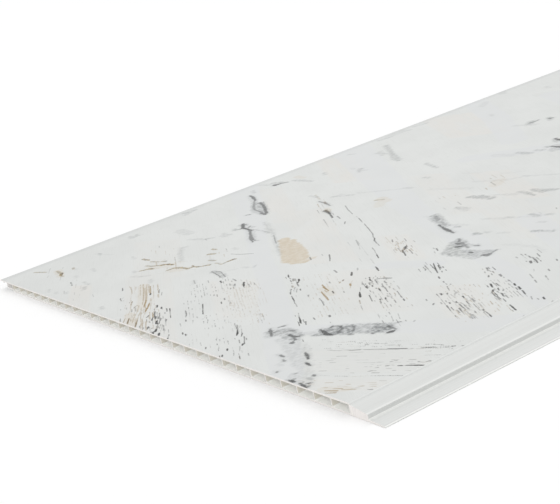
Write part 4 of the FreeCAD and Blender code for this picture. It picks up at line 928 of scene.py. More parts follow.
# Fields of worn grain: middle x and y, half sizes along and aside, lean, the rows' spacing, their filled
# share, a dash's length and half width, its depth and its share of gold.
FIELDS = [
    (85, 34, 19, 8.5, 1, 1.35, 0.62, 4.0, 0.24, 0.42, 0.15),
    (77, 24, 8, 4.0, 1, 1.2, 0.6, 5.0, 0.22, 0.45, 0.9),
    (80, 84, 15, 6.5, 1, 1.5, 0.35, 3.5, 0.24, 0.5, 0.05),
    (88, 98, 13, 7.0, 1, 1.6, 0.34, 3.2, 0.3, 0.55, 0.1),
    (106, 31, 14, 5.5, 1, 1.35, 0.62, 3.6, 0.24, 0.42, 0.15),
    (97, 26, 9, 3.0, 1, 1.4, 0.42, 4.0, 0.28, 0.5, 0.15),
    (117.5, 53, 10, 3.0, 1, 1.5, 0.4, 3.6, 0.3, 0.42, 0.2),
    (137, 49, 9, 3.4, 1, 1.3, 0.5, 3.4, 0.32, 0.55, 0),
    (16, 203, 46, 12.0, 1, 2.5, 0.4, 13.0, 0.3, 0.42, 0.9),
    (6, 184, 20, 8.0, 1, 1.9, 0.45, 8.0, 0.3, 0.5, 0.75),
    (9, 172, 24, 7.5, 1, 1.3, 0.5, 4.6, 0.32, 0.62, 0.1),
    (12, 212, 22, 6.0, 1, 1.6, 0.3, 5.0, 0.28, 0.4, 0.15),
    (50, 157, 17, 12.0, 1, 1.5, 0.8, 9.0, 0.24, 0.17, 0.8),
    (62, 172, 10, 5.0, 1, 1.3, 0.6, 3.0, 0.24, 0.32, 0.5),
    (46, 193, 13, 8.0, 1, 1.5, 0.55, 3.0, 0.28, 0.3, 0.1),
    (58, 189, 12, 4.5, 1, 1.4, 0.45, 3.5, 0.3, 0.36, 0.05),
    (29, 172, 20, 6.0, 1, 1.8, 0.4, 3.0, 0.26, 0.32, 0.1),
    (40, 140, 14, 8.0, 1, 1.5, 0.6, 2.4, 0.26, 0.2, 0.7),
    (24, 140, 12, 8.0, 1, 1.6, 0.35, 2.0, 0.28, 0.34, 0.1),
    (36, 118, 8, 3.0, 1, 1.4, 0.5, 2.4, 0.26, 0.3, 0.4),
    (20, 210, 36, 9.0, 1, 2.0, 0.55, 6.0, 0.26, 0.26, 0.85),
    (42, 150, 36, 10.0, 1, 1.7, 0.45, 2.2, 0.26, 0.2, 0.6),
    (69, 113, 36, 11.0, 1, 1.8, 0.45, 3.0, 0.26, 0.24, 0.65),
    (83, 84, 25, 8.0, 1, 1.6, 0.45, 2.6, 0.26, 0.28, 0.35),
    (93, 36, 21, 11.0, 1, 1.5, 0.55, 3.4, 0.26, 0.3, 0.6),
    (129, 133, 14, 6.0, 1, 1.5, 0.55, 3.0, 0.26, 0.32, 0.6),
    (66, 256, 26, 18.0, -1, 3.0, 0.3, 9.0, 0.3, 0.22, 0.75),
    (37, 26, 24, 14.0, -1, 2.0, 0.35, 5.0, 0.26, 0.26, 0.3),
    (21, 116, 9, 2.4, 1, 1.2, 0.45, 4.0, 0.28, 0.5, 0.05),
    (8, 100, 15, 7.0, 1, 1.6, 0.3, 3.6, 0.26, 0.42, 0.1),
    (6, 122, 12, 8.0, 1, 1.8, 0.25, 4.5, 0.22, 0.25, 0.2),
    (129, 133, 11, 5.0, 1, 1.4, 0.55, 4.0, 0.3, 0.5, 0.55),
    (134, 146, 9, 5.0, 1, 1.5, 0.4, 6.0, 0.25, 0.24, 0.6),
    (73, 150, 16, 2.4, 1, 1.2, 0.5, 3.2, 0.3, 0.55, 0.3),
    (64, 133, 10, 2.4, 1, 1.3, 0.4, 3.2, 0.26, 0.45, 0.1),
    (113, 90, 10, 4.4, 1, 1.2, 0.5, 6.5, 0.3, 0.62, 0.1),
    (62, 56, 12, 3.2, 1, 1.5, 0.3, 4.4, 0.22, 0.35, 0),
    (93, 106, 6, 4.0, 1, 1.5, 0.4, 2.4, 0.36, 0.45, 0.3),
    (122, 118, 8, 4.0, 1, 1.5, 0.4, 3.6, 0.26, 0.35, 0.3),
    (42, 97, 8, 2.6, 1, 1.3, 0.4, 3.6, 0.28, 0.45, 0),
    (92, 148, 16, 5.0, 1, 2.0, 0.2, 4.5, 0.26, 0.24, 0.1),
    (115, 150, 24, 6.0, 1, 2.4, 0.25, 8.0, 0.26, 0.18, 0.1),
    (150, 225, 26, 6.0, 1, 2.2, 0.3, 10.0, 0.32, 0.24, 0.3),
    (165, 258, 26, 6.0, 1, 2.6, 0.3, 12.0, 0.32, 0.2, 0.5),
    (66, 275, 26, 10.0, 1, 2.6, 0.3, 8.0, 0.34, 0.26, 0.7),
    (85, 245, 18, 7.0, 1, 2.6, 0.3, 6.0, 0.34, 0.22, 0.6),
    (12, 285, 24, 7.0, 1, 3.0, 0.3, 8.0, 0.32, 0.2, 0.2),
    (20, 330, 26, 8.0, 1, 3.0, 0.25, 9.0, 0.34, 0.18, 0.3),
    (190, 165, 20, 8.0, 1, 2.8, 0.25, 8.0, 0.34, 0.18, 0.4),
    (226, 172, 20, 10.0, 1, 3.0, 0.3, 8.0, 0.4, 0.2, 0.6),
    (33, 54, 22, 6.5, -1, 1.7, 0.24, 2.6, 0.26, 0.34, 0.05),
    (24, 26, 22, 9.0, -1, 1.9, 0.2, 2.8, 0.26, 0.3, 0.1),
    (44, 30, 18, 5.0, -1, 1.8, 0.22, 3.0, 0.26, 0.34, 0),
    (8, 20, 18, 4.0, -1, 1.5, 0.35, 3.4, 0.28, 0.42, 0.9),
    (36, 8, 12, 4.0, -1, 1.6, 0.3, 2.6, 0.28, 0.42, 0.05),
    (50, 10, 9, 2.6, -1, 1.4, 0.35, 2.8, 0.3, 0.5, 0),
]

# Tone of whole planks: middle x and y, half sizes along and aside, lean, warmth.
PLANKS = [
    (86, 36, 30, 12, 1, 0.55),
    (112, 34, 26, 8, 1, 0.35),
    (20, 205, 62, 16, 1, 0.5),
    (48, 158, 34, 18, 1, 0.55),
    (80, 100, 36, 17, 1, 0.5),
    (129, 134, 26, 9, 1, 0.8),
    (128, 210, 64, 15, 1, 0.6),
    (160, 300, 52, 10, 1, 0.7),
    (66, 285, 45, 18, 1, 0.35),
    (8, 268, 26, 8, 1, 0.9),
    (228, 325, 44, 15, 1, 0.95),
    (330, 322, 48, 22, 1, 0.9),
    (205, 188, 56, 12, 1, 0.55),
    (225, 160, 40, 12, 1, 0.8),
    (184, 110, 50, 16, 1, 0.5),
    (24, 36, 36, 14, -1, 0.3),
    (10, 16, 24, 7, -1, 0.6),
]

# The seeds of the generators that lay out the drawn part of the repeat, the dashes in the fields that were
# read in the photograph, and the dashes in the drawn part's fields.
DRAWN_SEED = 11
READ_DASHES_SEED = 5
DRAWN_DASHES_SEED = 6

# The drawn part of the repeat: how far apart its rows of planks start along the panel, how far apart the
# bands and the planks of a row are across it, and where along the panel each stops, clear of the next repeat.
ROW_PITCH = 58.0
BAND_RISE = 54.0
PLANK_RISE = 40.0
BAND_STOP = REPEAT - 70
PLANK_STOP = REPEAT - 50

# How far into the hidden part a band, a plank, a field and a vein have to be, so that no mark reaches back.
BAND_CLEAR = 6
PLANK_CLEAR = 16
FIELD_CLEAR = 18
VEIN_CLEAR = 3

# Marbled knots where planks meet: their places, and the strokes of each one from its place.
KNOTS = ((350, 60), (430, 150), (540, 90), (570, 240), (250, 60), (500, 300))
KNOT_STROKES = (
    ("band", -20, 40, 6, 18, -38, 6, 1),
    ("wash", -4, 9, 3.6, 5, -10, 4, 0.6),
    ("vein", -5, 9, 1.2, -2, 4, 1.4, 1),
    ("vein", 2, -4, 0.7, 5, -9, 1.2, 0.9),
)

# How much stronger the ink of a field's dashes is than the field's depth says.
FIELD_INK = 1.6


def hidden(x, y):
    """How far a place lies beyond what the photograph shows, in millimetres along the panel: the photograph's
    lower edge cuts straight across the face."""
    return x - (SEEN_NEAR + (SEEN_FAR - SEEN_NEAR) * y / FACE)


def drawn_repeat():
    """The rest of the roller's repeat, where the photograph shows nothing to read: bands, washes, veins,
    stains, fields and planks laid out by a seeded generator to the same measures."""
    chance = np.random.default_rng(DRAWN_SEED)
    drawn = {name: [] for name in ("band", "wash", "vein", "rub", "stain", "field", "plank")}
    slope = math.cos(GRAIN) / math.sin(GRAIN)
    for foot in np.arange(140, REPEAT - 10, ROW_PITCH):
        foot = foot + chance.uniform(-7, 7)
        for y in np.arange(-10, FACE + 5, BAND_RISE):
            x = foot + y * slope
            if hidden(x, y) < BAND_CLEAR or x > BAND_STOP:
                continue
            half = chance.uniform(5, 9)
            if chance.random() < 0.8:
                drawn["band"].append((x, y, half, x + BAND_RISE * slope, y + BAND_RISE,
                                      half + chance.uniform(-2, 2), 1))
            if chance.random() < 0.5:
                draw_vein(chance, drawn, x + chance.uniform(-4, 4), y + chance.uniform(0, 40))
        for y in np.arange(0, FACE + 5, PLANK_RISE):
            x = foot + ROW_PITCH / 2 + y * slope
            if hidden(x, y) >= PLANK_CLEAR and x <= PLANK_STOP:
                draw_plank(chance, drawn, x, y)
    for x, y in KNOTS:
        for name, x0, y0, half0, x1, y1, half1, depth in KNOT_STROKES:
            drawn[name].append((x + x0, y + y0, half0, x + x1, y + y1, half1, depth))
    return drawn


def draw_plank(chance, drawn, x, y):
    """One plank about a place, with its fields of worn grain and now and then a rub and a stain."""
    lean = 1 if chance.random() < 0.65 else -1
    drawn["plank"].append((x, y, chance.uniform(20, 44), chance.uniform(9, 17), lean,
                           chance.uniform(0.1, 0.9)))
    for part in range(int(chance.integers(1, 4))):
        gold = chance.choice([0.0, 0.1, 0.2, 0.9])
        field_x = x + chance.uniform(-12, 12)
        field_y = y + chance.uniform(-18, 18)
        if hidden(field_x, field_y) < FIELD_CLEAR:
            continue
        drawn["field"].append((
            field_x, field_y, chance.uniform(7, 22), chance.uniform(2.4, 9.0), lean, chance.uniform(1.3, 2.4),
            chance.uniform(0.2, 0.55), chance.uniform(3, 9), chance.uniform(0.24, 0.36),
            chance.uniform(0.3, 0.85), gold))
    for name, odds, lengths, halves, end_half, depths in (
            ("rub", 0.3, (4, 14), (0.5, 1.0), 0.6, (0.5, 0.9)),
            ("stain", 0.12, (8, 26), (2.5, 5), 0.8, (0.4, 0.9))):
        if chance.random() < odds:
            long = chance.uniform(*lengths)
            drawn[name].append((x, y, chance.uniform(*halves), x + long * math.cos(GRAIN),
                                y + long * math.sin(GRAIN), end_half, chance.uniform(*depths)))


def draw_vein(chance, drawn, x, y):
    """A dark vein of a few joined strokes along the grain, with grey beside it here and there."""
    for part in range(int(chance.integers(2, 6))):
        step = chance.uniform(4, 11)
        turn = GRAIN + chance.uniform(-0.4, 0.4)
        next_x = x + step * math.cos(turn)
        next_y = y + step * math.sin(turn)
        if hidden(next_x, next_y) < VEIN_CLEAR:
            break
        thick = chance.uniform(0.3, 1.4)
        drawn["vein"].append((x, y, thick, next_x, next_y, chance.uniform(0.3, 1.2),
                              chance.uniform(0.5, 0.95)))
        if chance.random() < 0.6:
            drawn["wash"].append((x, y, thick + 1.6, next_x, next_y, thick + 1.2, chance.uniform(0.2, 0.5)))
        x = next_x
        y = next_y


def strokes(paths):
    """The single tapered strokes of paths, each as start x, y and half width, end x, y and half width, depth
    and share of gold."""
    single = []
    for path in paths:
        values = [value for value in path if not isinstance(value, tuple)]
        points = path[len(values):]
        depth, gold = (values + [1.0, 0.0][len(values):])[:2]
        single.extend((*start, *end, depth, gold) for start, end in zip(points, points[1:]))
    return single


def field_dashes(fields, seed):
    """Broken parallel lines that fill slanted fields. A field has two directions, its grain and the grain of
    the planks that lean the other way; its rows run along the first and are set aside along the second."""
    chance = np.random.default_rng(seed)
    dashes = []
    for x, y, half_length, half_width, lean, spacing, filled, long, half, depth, gold in fields:
        along = np.array([math.cos(GRAIN), lean * math.sin(GRAIN)])
        aside = np.array([math.cos(GRAIN), -lean * math.sin(GRAIN)])
        step = spacing / math.sin(2 * GRAIN)
        for row in np.arange(-half_width, half_width + 0.01, step):
            strength = chance.uniform(0.5, 1.0)
            sway = chance.uniform(-0.18, 0.18, 2) * spacing
            here = -half_length + chance.uniform(0, long)
            while here < half_length:
                run = long * chance.uniform(0.35, 1.5)
                if chance.random() < filled:
                    start = np.array([x, y]) + along * here + aside * (row + sway[0])
                    end = start + along * min(run, half_length - here + 1) + aside * sway[1]
                    thick = half * chance.uniform(0.7, 1.35)
                    ink = min(1.0, FIELD_INK * depth * strength * chance.uniform(0.6, 1.5))
                    share = float(np.clip(gold + chance.uniform(-0.3, 0.3), 0, 1))
                    dashes.append((*start, thick * chance.uniform(0.5, 1.0), *end, thick, ink, share))
                here += run + chance.uniform(0.4, 1.4)
    return dashes


def whole_layout():
    """All strokes and planks of one repeat, by the layer that they are drawn in."""
    drawn = drawn_repeat()
    layout = {"plank": PLANKS + drawn["plank"]}
    for name, paths in (("band", BANDS), ("wash", WASHES), ("vein", VEINS), ("rub", RUBS), ("stain", STAINS)):
        layout[name] = strokes(paths) + drawn[name]
    layout["dash"] = (strokes(DASHES) + field_dashes(FIELDS, READ_DASHES_SEED)
                      + field_dashes(drawn["field"], DRAWN_DASHES_SEED))
    return layout


def stroke_layer(x, y, strokes, margin):
    """How far each point of a grid is outside the nearest of several tapered strokes, in millimetres, with
    that stroke's depth and share of gold. With t the foot of the perpendicular on the stroke's line, held
    between 0 and 1, the gap is the distance to that foot less the half width there, negative inside."""
    gap = np.full((len(x), len(y)), 2 * margin)
    depth = np.zeros(gap.shape)
    gold = np.zeros(gap.shape)
    for x0, y0, half0, x1, y1, half1, ink, *share in strokes:
        reach = max(half0, half1) + margin
        rows = slice(*np.searchsorted(-y, (-max(y0, y1) - reach, -min(y0, y1) + reach)))
        run_x = x1 - x0
        run_y = y1 - y0
        for shift in SHIFTS:
            low = min(x0, x1) + shift - reach
            high = max(x0, x1) + shift + reach
            if high < x[0] or low > x[-1]:
                continue
            lines = slice(*np.searchsorted(x, (low, high)))
            from_x = x[lines, None] - x0 - shift
            from_y = y[None, rows] - y0
            t = np.clip((from_x * run_x + from_y * run_y) / (run_x * run_x + run_y * run_y), 0, 1)
            here = np.hypot(from_x - t * run_x, from_y - t * run_y) - (half0 + (half1 - half0) * t)
            nearer = here < gap[lines, rows]
            gap[lines, rows][nearer] = here[nearer]
            depth[lines, rows][nearer] = ink
            gold[lines, rows][nearer] = share[0] if share else 0.0
    return {"gap": gap, "depth": depth, "gold": gold}


def plank_layer(x, y, planks):
    """The warmth and the lean of the planks at each point of a grid. In a plank's two directions, along its
    grain and along the other, the warmth falls from its value to nothing over the edge's width."""
    edge = 3.0
    reach = 60
    warmth = np.zeros((len(x), len(y)))
    lean = np.ones(warmth.shape)
    for middle_x, middle_y, half_length, half_width, leaning, value in planks:
        for shift in SHIFTS:
            if middle_x + shift < x[0] - reach or middle_x + shift > x[-1] + reach:
                continue
            right = (x[:, None] - middle_x - shift) / math.cos(GRAIN)
            up = (y[None, :] - middle_y) * leaning / math.sin(GRAIN)
            along = np.abs(right + up) / 2 - half_length
            aside = np.abs(right - up) / 2 - half_width
            here = value * np.clip(0.5 - along / edge, 0, 1) * np.clip(0.5 - aside / edge, 0, 1)
            fuller = here > warmth
            warmth[fuller] = here[fuller]
            lean[fuller] = leaning
    return warmth, lean


# The layers made of strokes: how far round a stroke its gap is worked out, and what the ink reads of it.
STROKE_LAYERS = {
    "band": (4.0, ("gap",)),
    "wash": (4.0, ("gap", "depth")),
    "vein": (4.5, ("gap", "depth")),
    "rub": (3.0, ("gap", "depth")),
    "stain": (3.0, ("gap", "depth")),
    "dash": (1.5, ("gap", "depth", "gold")),
}


def ink_layers(x, y, layout):
    """The print's layers on a grid of the face, each as one number a point."""
    layers = {}
    for name, (margin, wanted) in STROKE_LAYERS.items():
        worked_out = stroke_layer(x, y, layout[name], margin)
        for kind in wanted:
            layers[f"{name}_{kind}"] = worked_out[kind]
    layers["warmth"], layers["lean"] = plank_layer(x, y, layout["plank"])
    return layers


# Materials

# The edges of the inks: the layer of strokes that each ink follows, and in millimetres how far its edge
# wanders, how ragged it is, and the gaps at which the ink begins and is full.
EDGES = {
    "band": ("band", 5.0, 1.0, 1.0, -1.0),
    "stain": ("stain", 3.0, 1.2, 2.0, 0.2),
    "wash": ("wash", 4.5, 1.6, 1.3, -1.3),
    "halo": ("vein", 4.0, 1.5, 2.4, -0.4),
    "rub": ("rub", 1.8, 1.2, 0.35, -0.45),
    "vein": ("vein", 1.5, 1.3, 0.45, -0.45),
}

# How well each ink covers what lies below it.
COVER = {
    "cream": 0.9,
    "stone": 0.75,
    "grain_line": 0.09,
    "halo": 0.22,
    "dash": 0.95,
    "vein": 0.94,
    "rim_shade": 0.22,
}

# Painted shade along the far edge of the film: how many millimetres from the edge it begins and is full.
RIM_SHADE_START = 11.0
RIM_SHADE_FULL = 3.0

# The depth of the relief of the film, of the plain PVC and of the sawn ends, in metres, and how much of the
# film's relief the sink over a web, a dash of worn grain and a faint line of the planks take.
FILM_RELIEF = 0.00002
PLASTIC_RELIEF = 0.00003
SAWN_RELIEF = 0.00006
WEB_SINK = 0.15
DASH_SINK = 0.8
LINE_SINK = 0.25


class Graph:
    """Short calls that add nodes to one material and link them."""

    def __init__(self, name):
        self.material = bpy.data.materials.new(name)
        self.material.use_nodes = True
        self.nodes = self.material.node_tree.nodes
        self.links = self.material.node_tree.links
        self.shader = self.nodes["Principled BSDF"]

    def feed(self, socket, value):
        """Links a socket to another node's output, or sets it to a number or to a colour of three numbers."""
        if isinstance(value, bpy.types.NodeSocket):
            self.links.new(value, socket)
        elif isinstance(value, tuple):
            socket.default_value = (*value, 1.0)
        else:
            socket.default_value = value

    def node(self, kind, output, inputs, **settings):
        """A node with these settings, its inputs fed by name or number, and one of its outputs."""
        made = self.nodes.new("ShaderNode" + kind)
        for setting, value in settings.items():
            setattr(made, setting, value)
        for socket, value in inputs.items():
            self.feed(made.inputs[socket], value)
        return made.outputs[output]

    def math(self, kind, *values):
        return self.node("Math", 0, dict(enumerate(values)), operation=kind)

    def product(self, first, *others):
        for factor in others:
            first = self.math("MULTIPLY", first, factor)
        return first

    def ramp(self, value, low, high, at_low=0.0, at_high=1.0):
        """A smooth step from one value to another between two places."""
        inputs = {"Value": value, "From Min": low, "From Max": high, "To Min": at_low, "To Max": at_high}
        return self.node("MapRange", 0, inputs, interpolation_type="SMOOTHSTEP")

    def mix(self, share, first, second):
        """Two colours mixed: all the first where the share is nothing, and all the second where it is one."""
        return self.node("Mix", 2, {0: share, 6: first, 7: second}, data_type="RGBA")

    def noise(self, vector, scale, detail=2.0, roughness=0.5):
        inputs = {"Vector": vector, "Scale": scale, "Detail": detail, "Roughness": roughness}
        return self.node("TexNoise", 0, inputs)

    def combine(self, x, y, z=0.0):
        return self.node("CombineXYZ", 0, {0: x, 1: y, 2: z})

    def layer(self, name):
        return self.node("Attribute", "Fac", {}, attribute_type="GEOMETRY", attribute_name=name)

    def panel_place(self):
        """The place on the panel in millimetres, as three numbers, from Object coordinates."""
        where = self.node("TexCoord", "Object", {})
        split = self.nodes.new("ShaderNodeSeparateXYZ")
        self.feed(split.inputs[0], where)
        x = self.math("MULTIPLY_ADD", split.outputs[0], 1 / MM, LENGTH / 2)
        s = self.math("MULTIPLY_ADD", split.outputs[1], 1 / MM, WIDTH / 2)
        z = self.math("MULTIPLY", split.outputs[2], 1 / MM)
        return x, s, z

    def over_webs(self, s, sizes):
        """A wave across the panel that is one over each web and minus one over the middle of each cell: the
        cosine of the distance to the first web's middle in turns of one pitch."""
        from_web = self.math("SUBTRACT", s, sizes.cells_start - sizes.web / 2)
        return self.math("COSINE", self.math("MULTIPLY", from_web, 2 * math.pi / sizes.pitch))

    def relief(self, height, distance, strength):
        inputs = {"Height": height, "Distance": distance, "Strength": strength}
        self.feed(self.shader.inputs["Normal"], self.node("Bump", 0, inputs))

    def finish(self, colour, roughness, specular):
        self.feed(self.shader.inputs["Base Color"], colour)
        self.feed(self.shader.inputs["Roughness"], roughness)
        self.feed(self.shader.inputs["Specular IOR Level"], specular)
        return self.material


def print_material(inks, sizes):
    """The printed film: a pale ground in cream planks and grey stone bands, grey washes, black veins with
    soft halos, gold rubs, tan stains and the dashes of worn grain, under a satin lacquer."""
    graph = Graph("printed_film")
    x, s = graph.panel_place()[:2]
    y = graph.math("SUBTRACT", s, sizes.flange_reach)
    flat = graph.combine(x, y)

    leaned = graph.math("MULTIPLY", y, graph.math("SIGN", graph.layer("lean")))
    along = graph.math("ADD", graph.math("MULTIPLY", x, math.cos(GRAIN)),
                       graph.math("MULTIPLY", leaned, math.sin(GRAIN)))
    across = graph.math("SUBTRACT", graph.math("MULTIPLY", leaned, math.cos(GRAIN)),
                        graph.math("MULTIPLY", x, math.sin(GRAIN)))

    def streaks(length, width, detail, shift=0.0):
        """A noise drawn out along the grain, whose grains are this long and this wide in millimetres."""
        spot = graph.combine(graph.math("DIVIDE", along, length), graph.math("DIVIDE", across, width), shift)
        return graph.noise(spot, 1.0, detail, 0.55)

    wander = graph.math("SUBTRACT", graph.noise(flat, 0.30, 3.0, 0.6), 0.5)
    ragged = graph.math("SUBTRACT", graph.noise(flat, 0.85, 3.0, 0.6), 0.5)
    grainy = graph.math("SUBTRACT", streaks(3.0, 0.9, 2.0, 3.0), 0.5)

    def inside(ink):
        """How full an ink is: one inside its layer's strokes, nothing outside, with edges that wander."""
        layer, wide, rough, outer, inner = EDGES[ink]
        gap = graph.math("MULTIPLY_ADD", wander, wide, graph.layer(layer + "_gap"))
        return graph.ramp(graph.math("MULTIPLY_ADD", ragged, rough, gap), outer, inner)

    band = inside("band")
    ground = graph.mix(graph.ramp(streaks(60.0, 30.0, 3.0), 0.38, 0.62), inks.ground, inks.ground_light)
    cream = graph.product(graph.layer("warmth"),
                          graph.ramp(streaks(40.0, 9.0, 2.0, 5.0), 0.30, 0.62, 0.35, 1.0))
    ground = graph.mix(graph.product(cream, COVER["cream"]), ground, inks.cream)
    ground = graph.mix(graph.product(band, COVER["stone"]), ground, inks.stone)

    lines = graph.product(graph.ramp(streaks(16.0, 0.8, 2.0, 1.0), 0.52, 0.72),
                          graph.math("SUBTRACT", 1.0, band))
    ground = graph.mix(graph.product(lines, COVER["grain_line"]), ground, inks.grain_line)

    stain = graph.product(inside("stain"), graph.layer("stain_depth"),
                          graph.ramp(grainy, -0.22, 0.10, 0.85, 1.0))
    stained = graph.mix(graph.ramp(wander, -0.12, 0.16), inks.tan, inks.tan_light)
    colour = graph.mix(stain, ground, stained)

    cloudy = graph.ramp(graph.noise(flat, 0.42, 4.0, 0.65), 0.34, 0.64, 0.30, 1.0)
    wash = graph.product(inside("wash"), cloudy, graph.layer("wash_depth"))
    halo = graph.product(inside("halo"), COVER["halo"], graph.layer("vein_depth"))
    colour = graph.mix(graph.math("MAXIMUM", wash, halo), colour, inks.wash)

    rubbed = graph.mix(graph.ramp(grainy, -0.06, 0.10), inks.gold, inks.brown)
    colour = graph.mix(graph.product(inside("rub"), graph.layer("rub_depth")), colour, rubbed)

    dash = graph.ramp(graph.math("MULTIPLY_ADD", grainy, 0.5, graph.layer("dash_gap")), 0.13, -0.21)
    dash = graph.product(dash, graph.layer("dash_depth"), graph.ramp(ragged, -0.25, 0.05, 0.75, 1.0))
    share = graph.math("MULTIPLY_ADD", grainy, 0.5, graph.layer("dash_gold"))
    dash_ink = graph.mix(graph.ramp(share, 0.30, 0.65), inks.worn_black, inks.worn_gold)
    colour = graph.mix(graph.product(dash, COVER["dash"]), colour, dash_ink)

    vein = graph.product(inside("vein"), graph.layer("vein_depth"), COVER["vein"])
    deep = graph.mix(graph.ramp(graph.noise(flat, 0.9, 3.0, 0.6), 0.42, 0.66), inks.black, inks.slate)
    colour = graph.mix(vein, colour, deep)

    # The film over the near edge's rounding is unprinted, and painted lighter than the plain PVC against the
    # shade on the rounding.
    film = graph.ramp(graph.math("MULTIPLY_ADD", ragged, 0.3, y), 0.5, 0.9)
    colour = graph.mix(film, inks.unprinted_edge_light, colour)
    # Painted shade along the far edge.
    far = WIDTH - sizes.flange_reach
    colour = graph.mix(graph.ramp(y, far - RIM_SHADE_START, far - RIM_SHADE_FULL, 0.0, COVER["rim_shade"]), colour, inks.rim_shade)

    height = graph.math("ADD", graph.math("MULTIPLY", graph.over_webs(s, sizes), -WEB_SINK),
                        graph.math("MULTIPLY", dash, -DASH_SINK))
    graph.relief(graph.math("MULTIPLY_ADD", lines, -LINE_SINK, height), FILM_RELIEF, 0.6)
    lacquer = graph.ramp(graph.noise(flat, 0.05, 3.0), 0.3, 0.7, 0.38, 0.44)
    return graph.finish(colour, graph.math("MULTIPLY_ADD", dash, 0.12, lacquer), 0.12)


def plastic_material(name, sizes, in_cells=False):
    """Extruded white PVC: faint die lines along the length, a slightly uneven white, the shallow sink over
    each web, and painted light on the flange beside the tongue's nose, along the nose's upper edge and on the
    flange's outer edge. In the cells it is painted lighter and given a painted glow for the light that comes
    through the skins, and the upper part of the webs' sides has painted shade."""
    graph = Graph(name)
    x, s, z = graph.panel_place()
    # In the cells the white and its streaks are painted lighter than the same PVC outside, for the light that
    # comes through the skins.
    white = sizes.cell_lit_white if in_cells else sizes.plastic
    shade = sizes.cell_lit_streaks if in_cells else sizes.plastic_shade
    die = graph.noise(graph.combine(graph.product(x, 0.002), graph.product(s, 1.6), graph.product(z, 1.6)),
                      1.0, 3.0, 0.6)
    cloud = graph.noise(graph.combine(graph.product(x, 0.01), graph.product(s, 0.05)), 1.0, 2.0)
    on_web = graph.product(graph.ramp(graph.over_webs(s, sizes), 0.86, 1.0), graph.ramp(z, 0.3, 0.1))
    colour = graph.mix(graph.ramp(die, 0.35, 0.7), white, shade)
    colour = graph.mix(graph.product(graph.ramp(cloud, 0.4, 0.7), 0.5), colour, shade)
    colour = graph.mix(graph.product(on_web, 0.25), colour, sizes.plastic_web)

    # Painted light: the flange beside the tongue's nose, the nose's upper edge and the flange's outer edge
    # are painted lighter, against the shade that falls there.
    nose = sizes.flange_reach - sizes.tongue_reach
    on_tongue = graph.product(graph.ramp(s, nose + 1.8, nose + 0.2), graph.ramp(z, 2.7, 2.85), 0.5)
    on_flange = graph.product(graph.ramp(s, nose - 2.4, nose - 0.1), graph.ramp(z, 1.3, 1.1),
                              graph.ramp(z, 0.3, 0.5))
    painted_light = graph.math("MAXIMUM", graph.math("MAXIMUM", on_tongue, on_flange), graph.ramp(s, 0.5, 0.2))
    colour = graph.mix(painted_light, colour, sizes.plastic_painted_light)

    if in_cells:
        # Painted shade on the upper part of the webs' sides inside the cells.
        in_cell = graph.math("FLOORED_MODULO", graph.math("SUBTRACT", s, sizes.cells_start), sizes.pitch)
        web_side = sizes.pitch - sizes.web
        shaded_side = graph.product(graph.ramp(in_cell, web_side - 0.4, web_side - 0.1), graph.ramp(z, 1.0, 1.7))
        colour = graph.mix(shaded_side, colour, sizes.web_side_shade)
        # Painted glow: the cells' walls give off a little light, in place of the light that comes through the
        # skins.
        graph.feed(graph.shader.inputs["Emission Color"], (1.0, 0.99, 0.97))
        graph.feed(graph.shader.inputs["Emission Strength"], CELL_GLOW)
    graph.relief(graph.math("MULTIPLY_ADD", on_web, -1.0, graph.product(die, 0.6)), PLASTIC_RELIEF, 0.7)
    return graph.finish(colour, graph.ramp(die, 0.3, 0.7, 0.38, 0.5), 0.15)


def sawn_material(sizes):
    """The sawn ends: the same PVC made matt, slightly warm and scored by the saw, with painted light that
    makes them lighter than the skins.
    """
    graph = Graph("sawn_pvc")
    s, z = graph.panel_place()[1:]
    slant = graph.math("MULTIPLY_ADD", z, 0.22, s)
    score = graph.noise(graph.combine(graph.product(slant, 3.2), graph.product(z, 0.12)), 1.0, 2.0, 0.6)
    dust = graph.noise(graph.combine(s, z), 2.2, 2.0)
    colour = graph.mix(graph.ramp(score, 0.35, 0.68), sizes.sawn, sizes.sawn_shade)
    colour = graph.mix(graph.product(graph.ramp(dust, 0.55, 0.75), 0.5), colour, sizes.plastic)
    graph.relief(score, SAWN_RELIEF, 0.8)
    return graph.finish(colour, graph.ramp(score, 0.3, 0.7, 0.55, 0.72), 0.15)


# Settings

def length_setting(name, description, default):
    return bpy.props.FloatProperty(name=name, description=description, default=default * MM, min=0.0,
                                   unit="LENGTH", subtype="DISTANCE", precision=5)


def colour_setting(name, description, *default):
    return bpy.props.FloatVectorProperty(name=name, description=description, default=light(*default), size=3,
                                         min=0.0, max=1.0, subtype="COLOR")


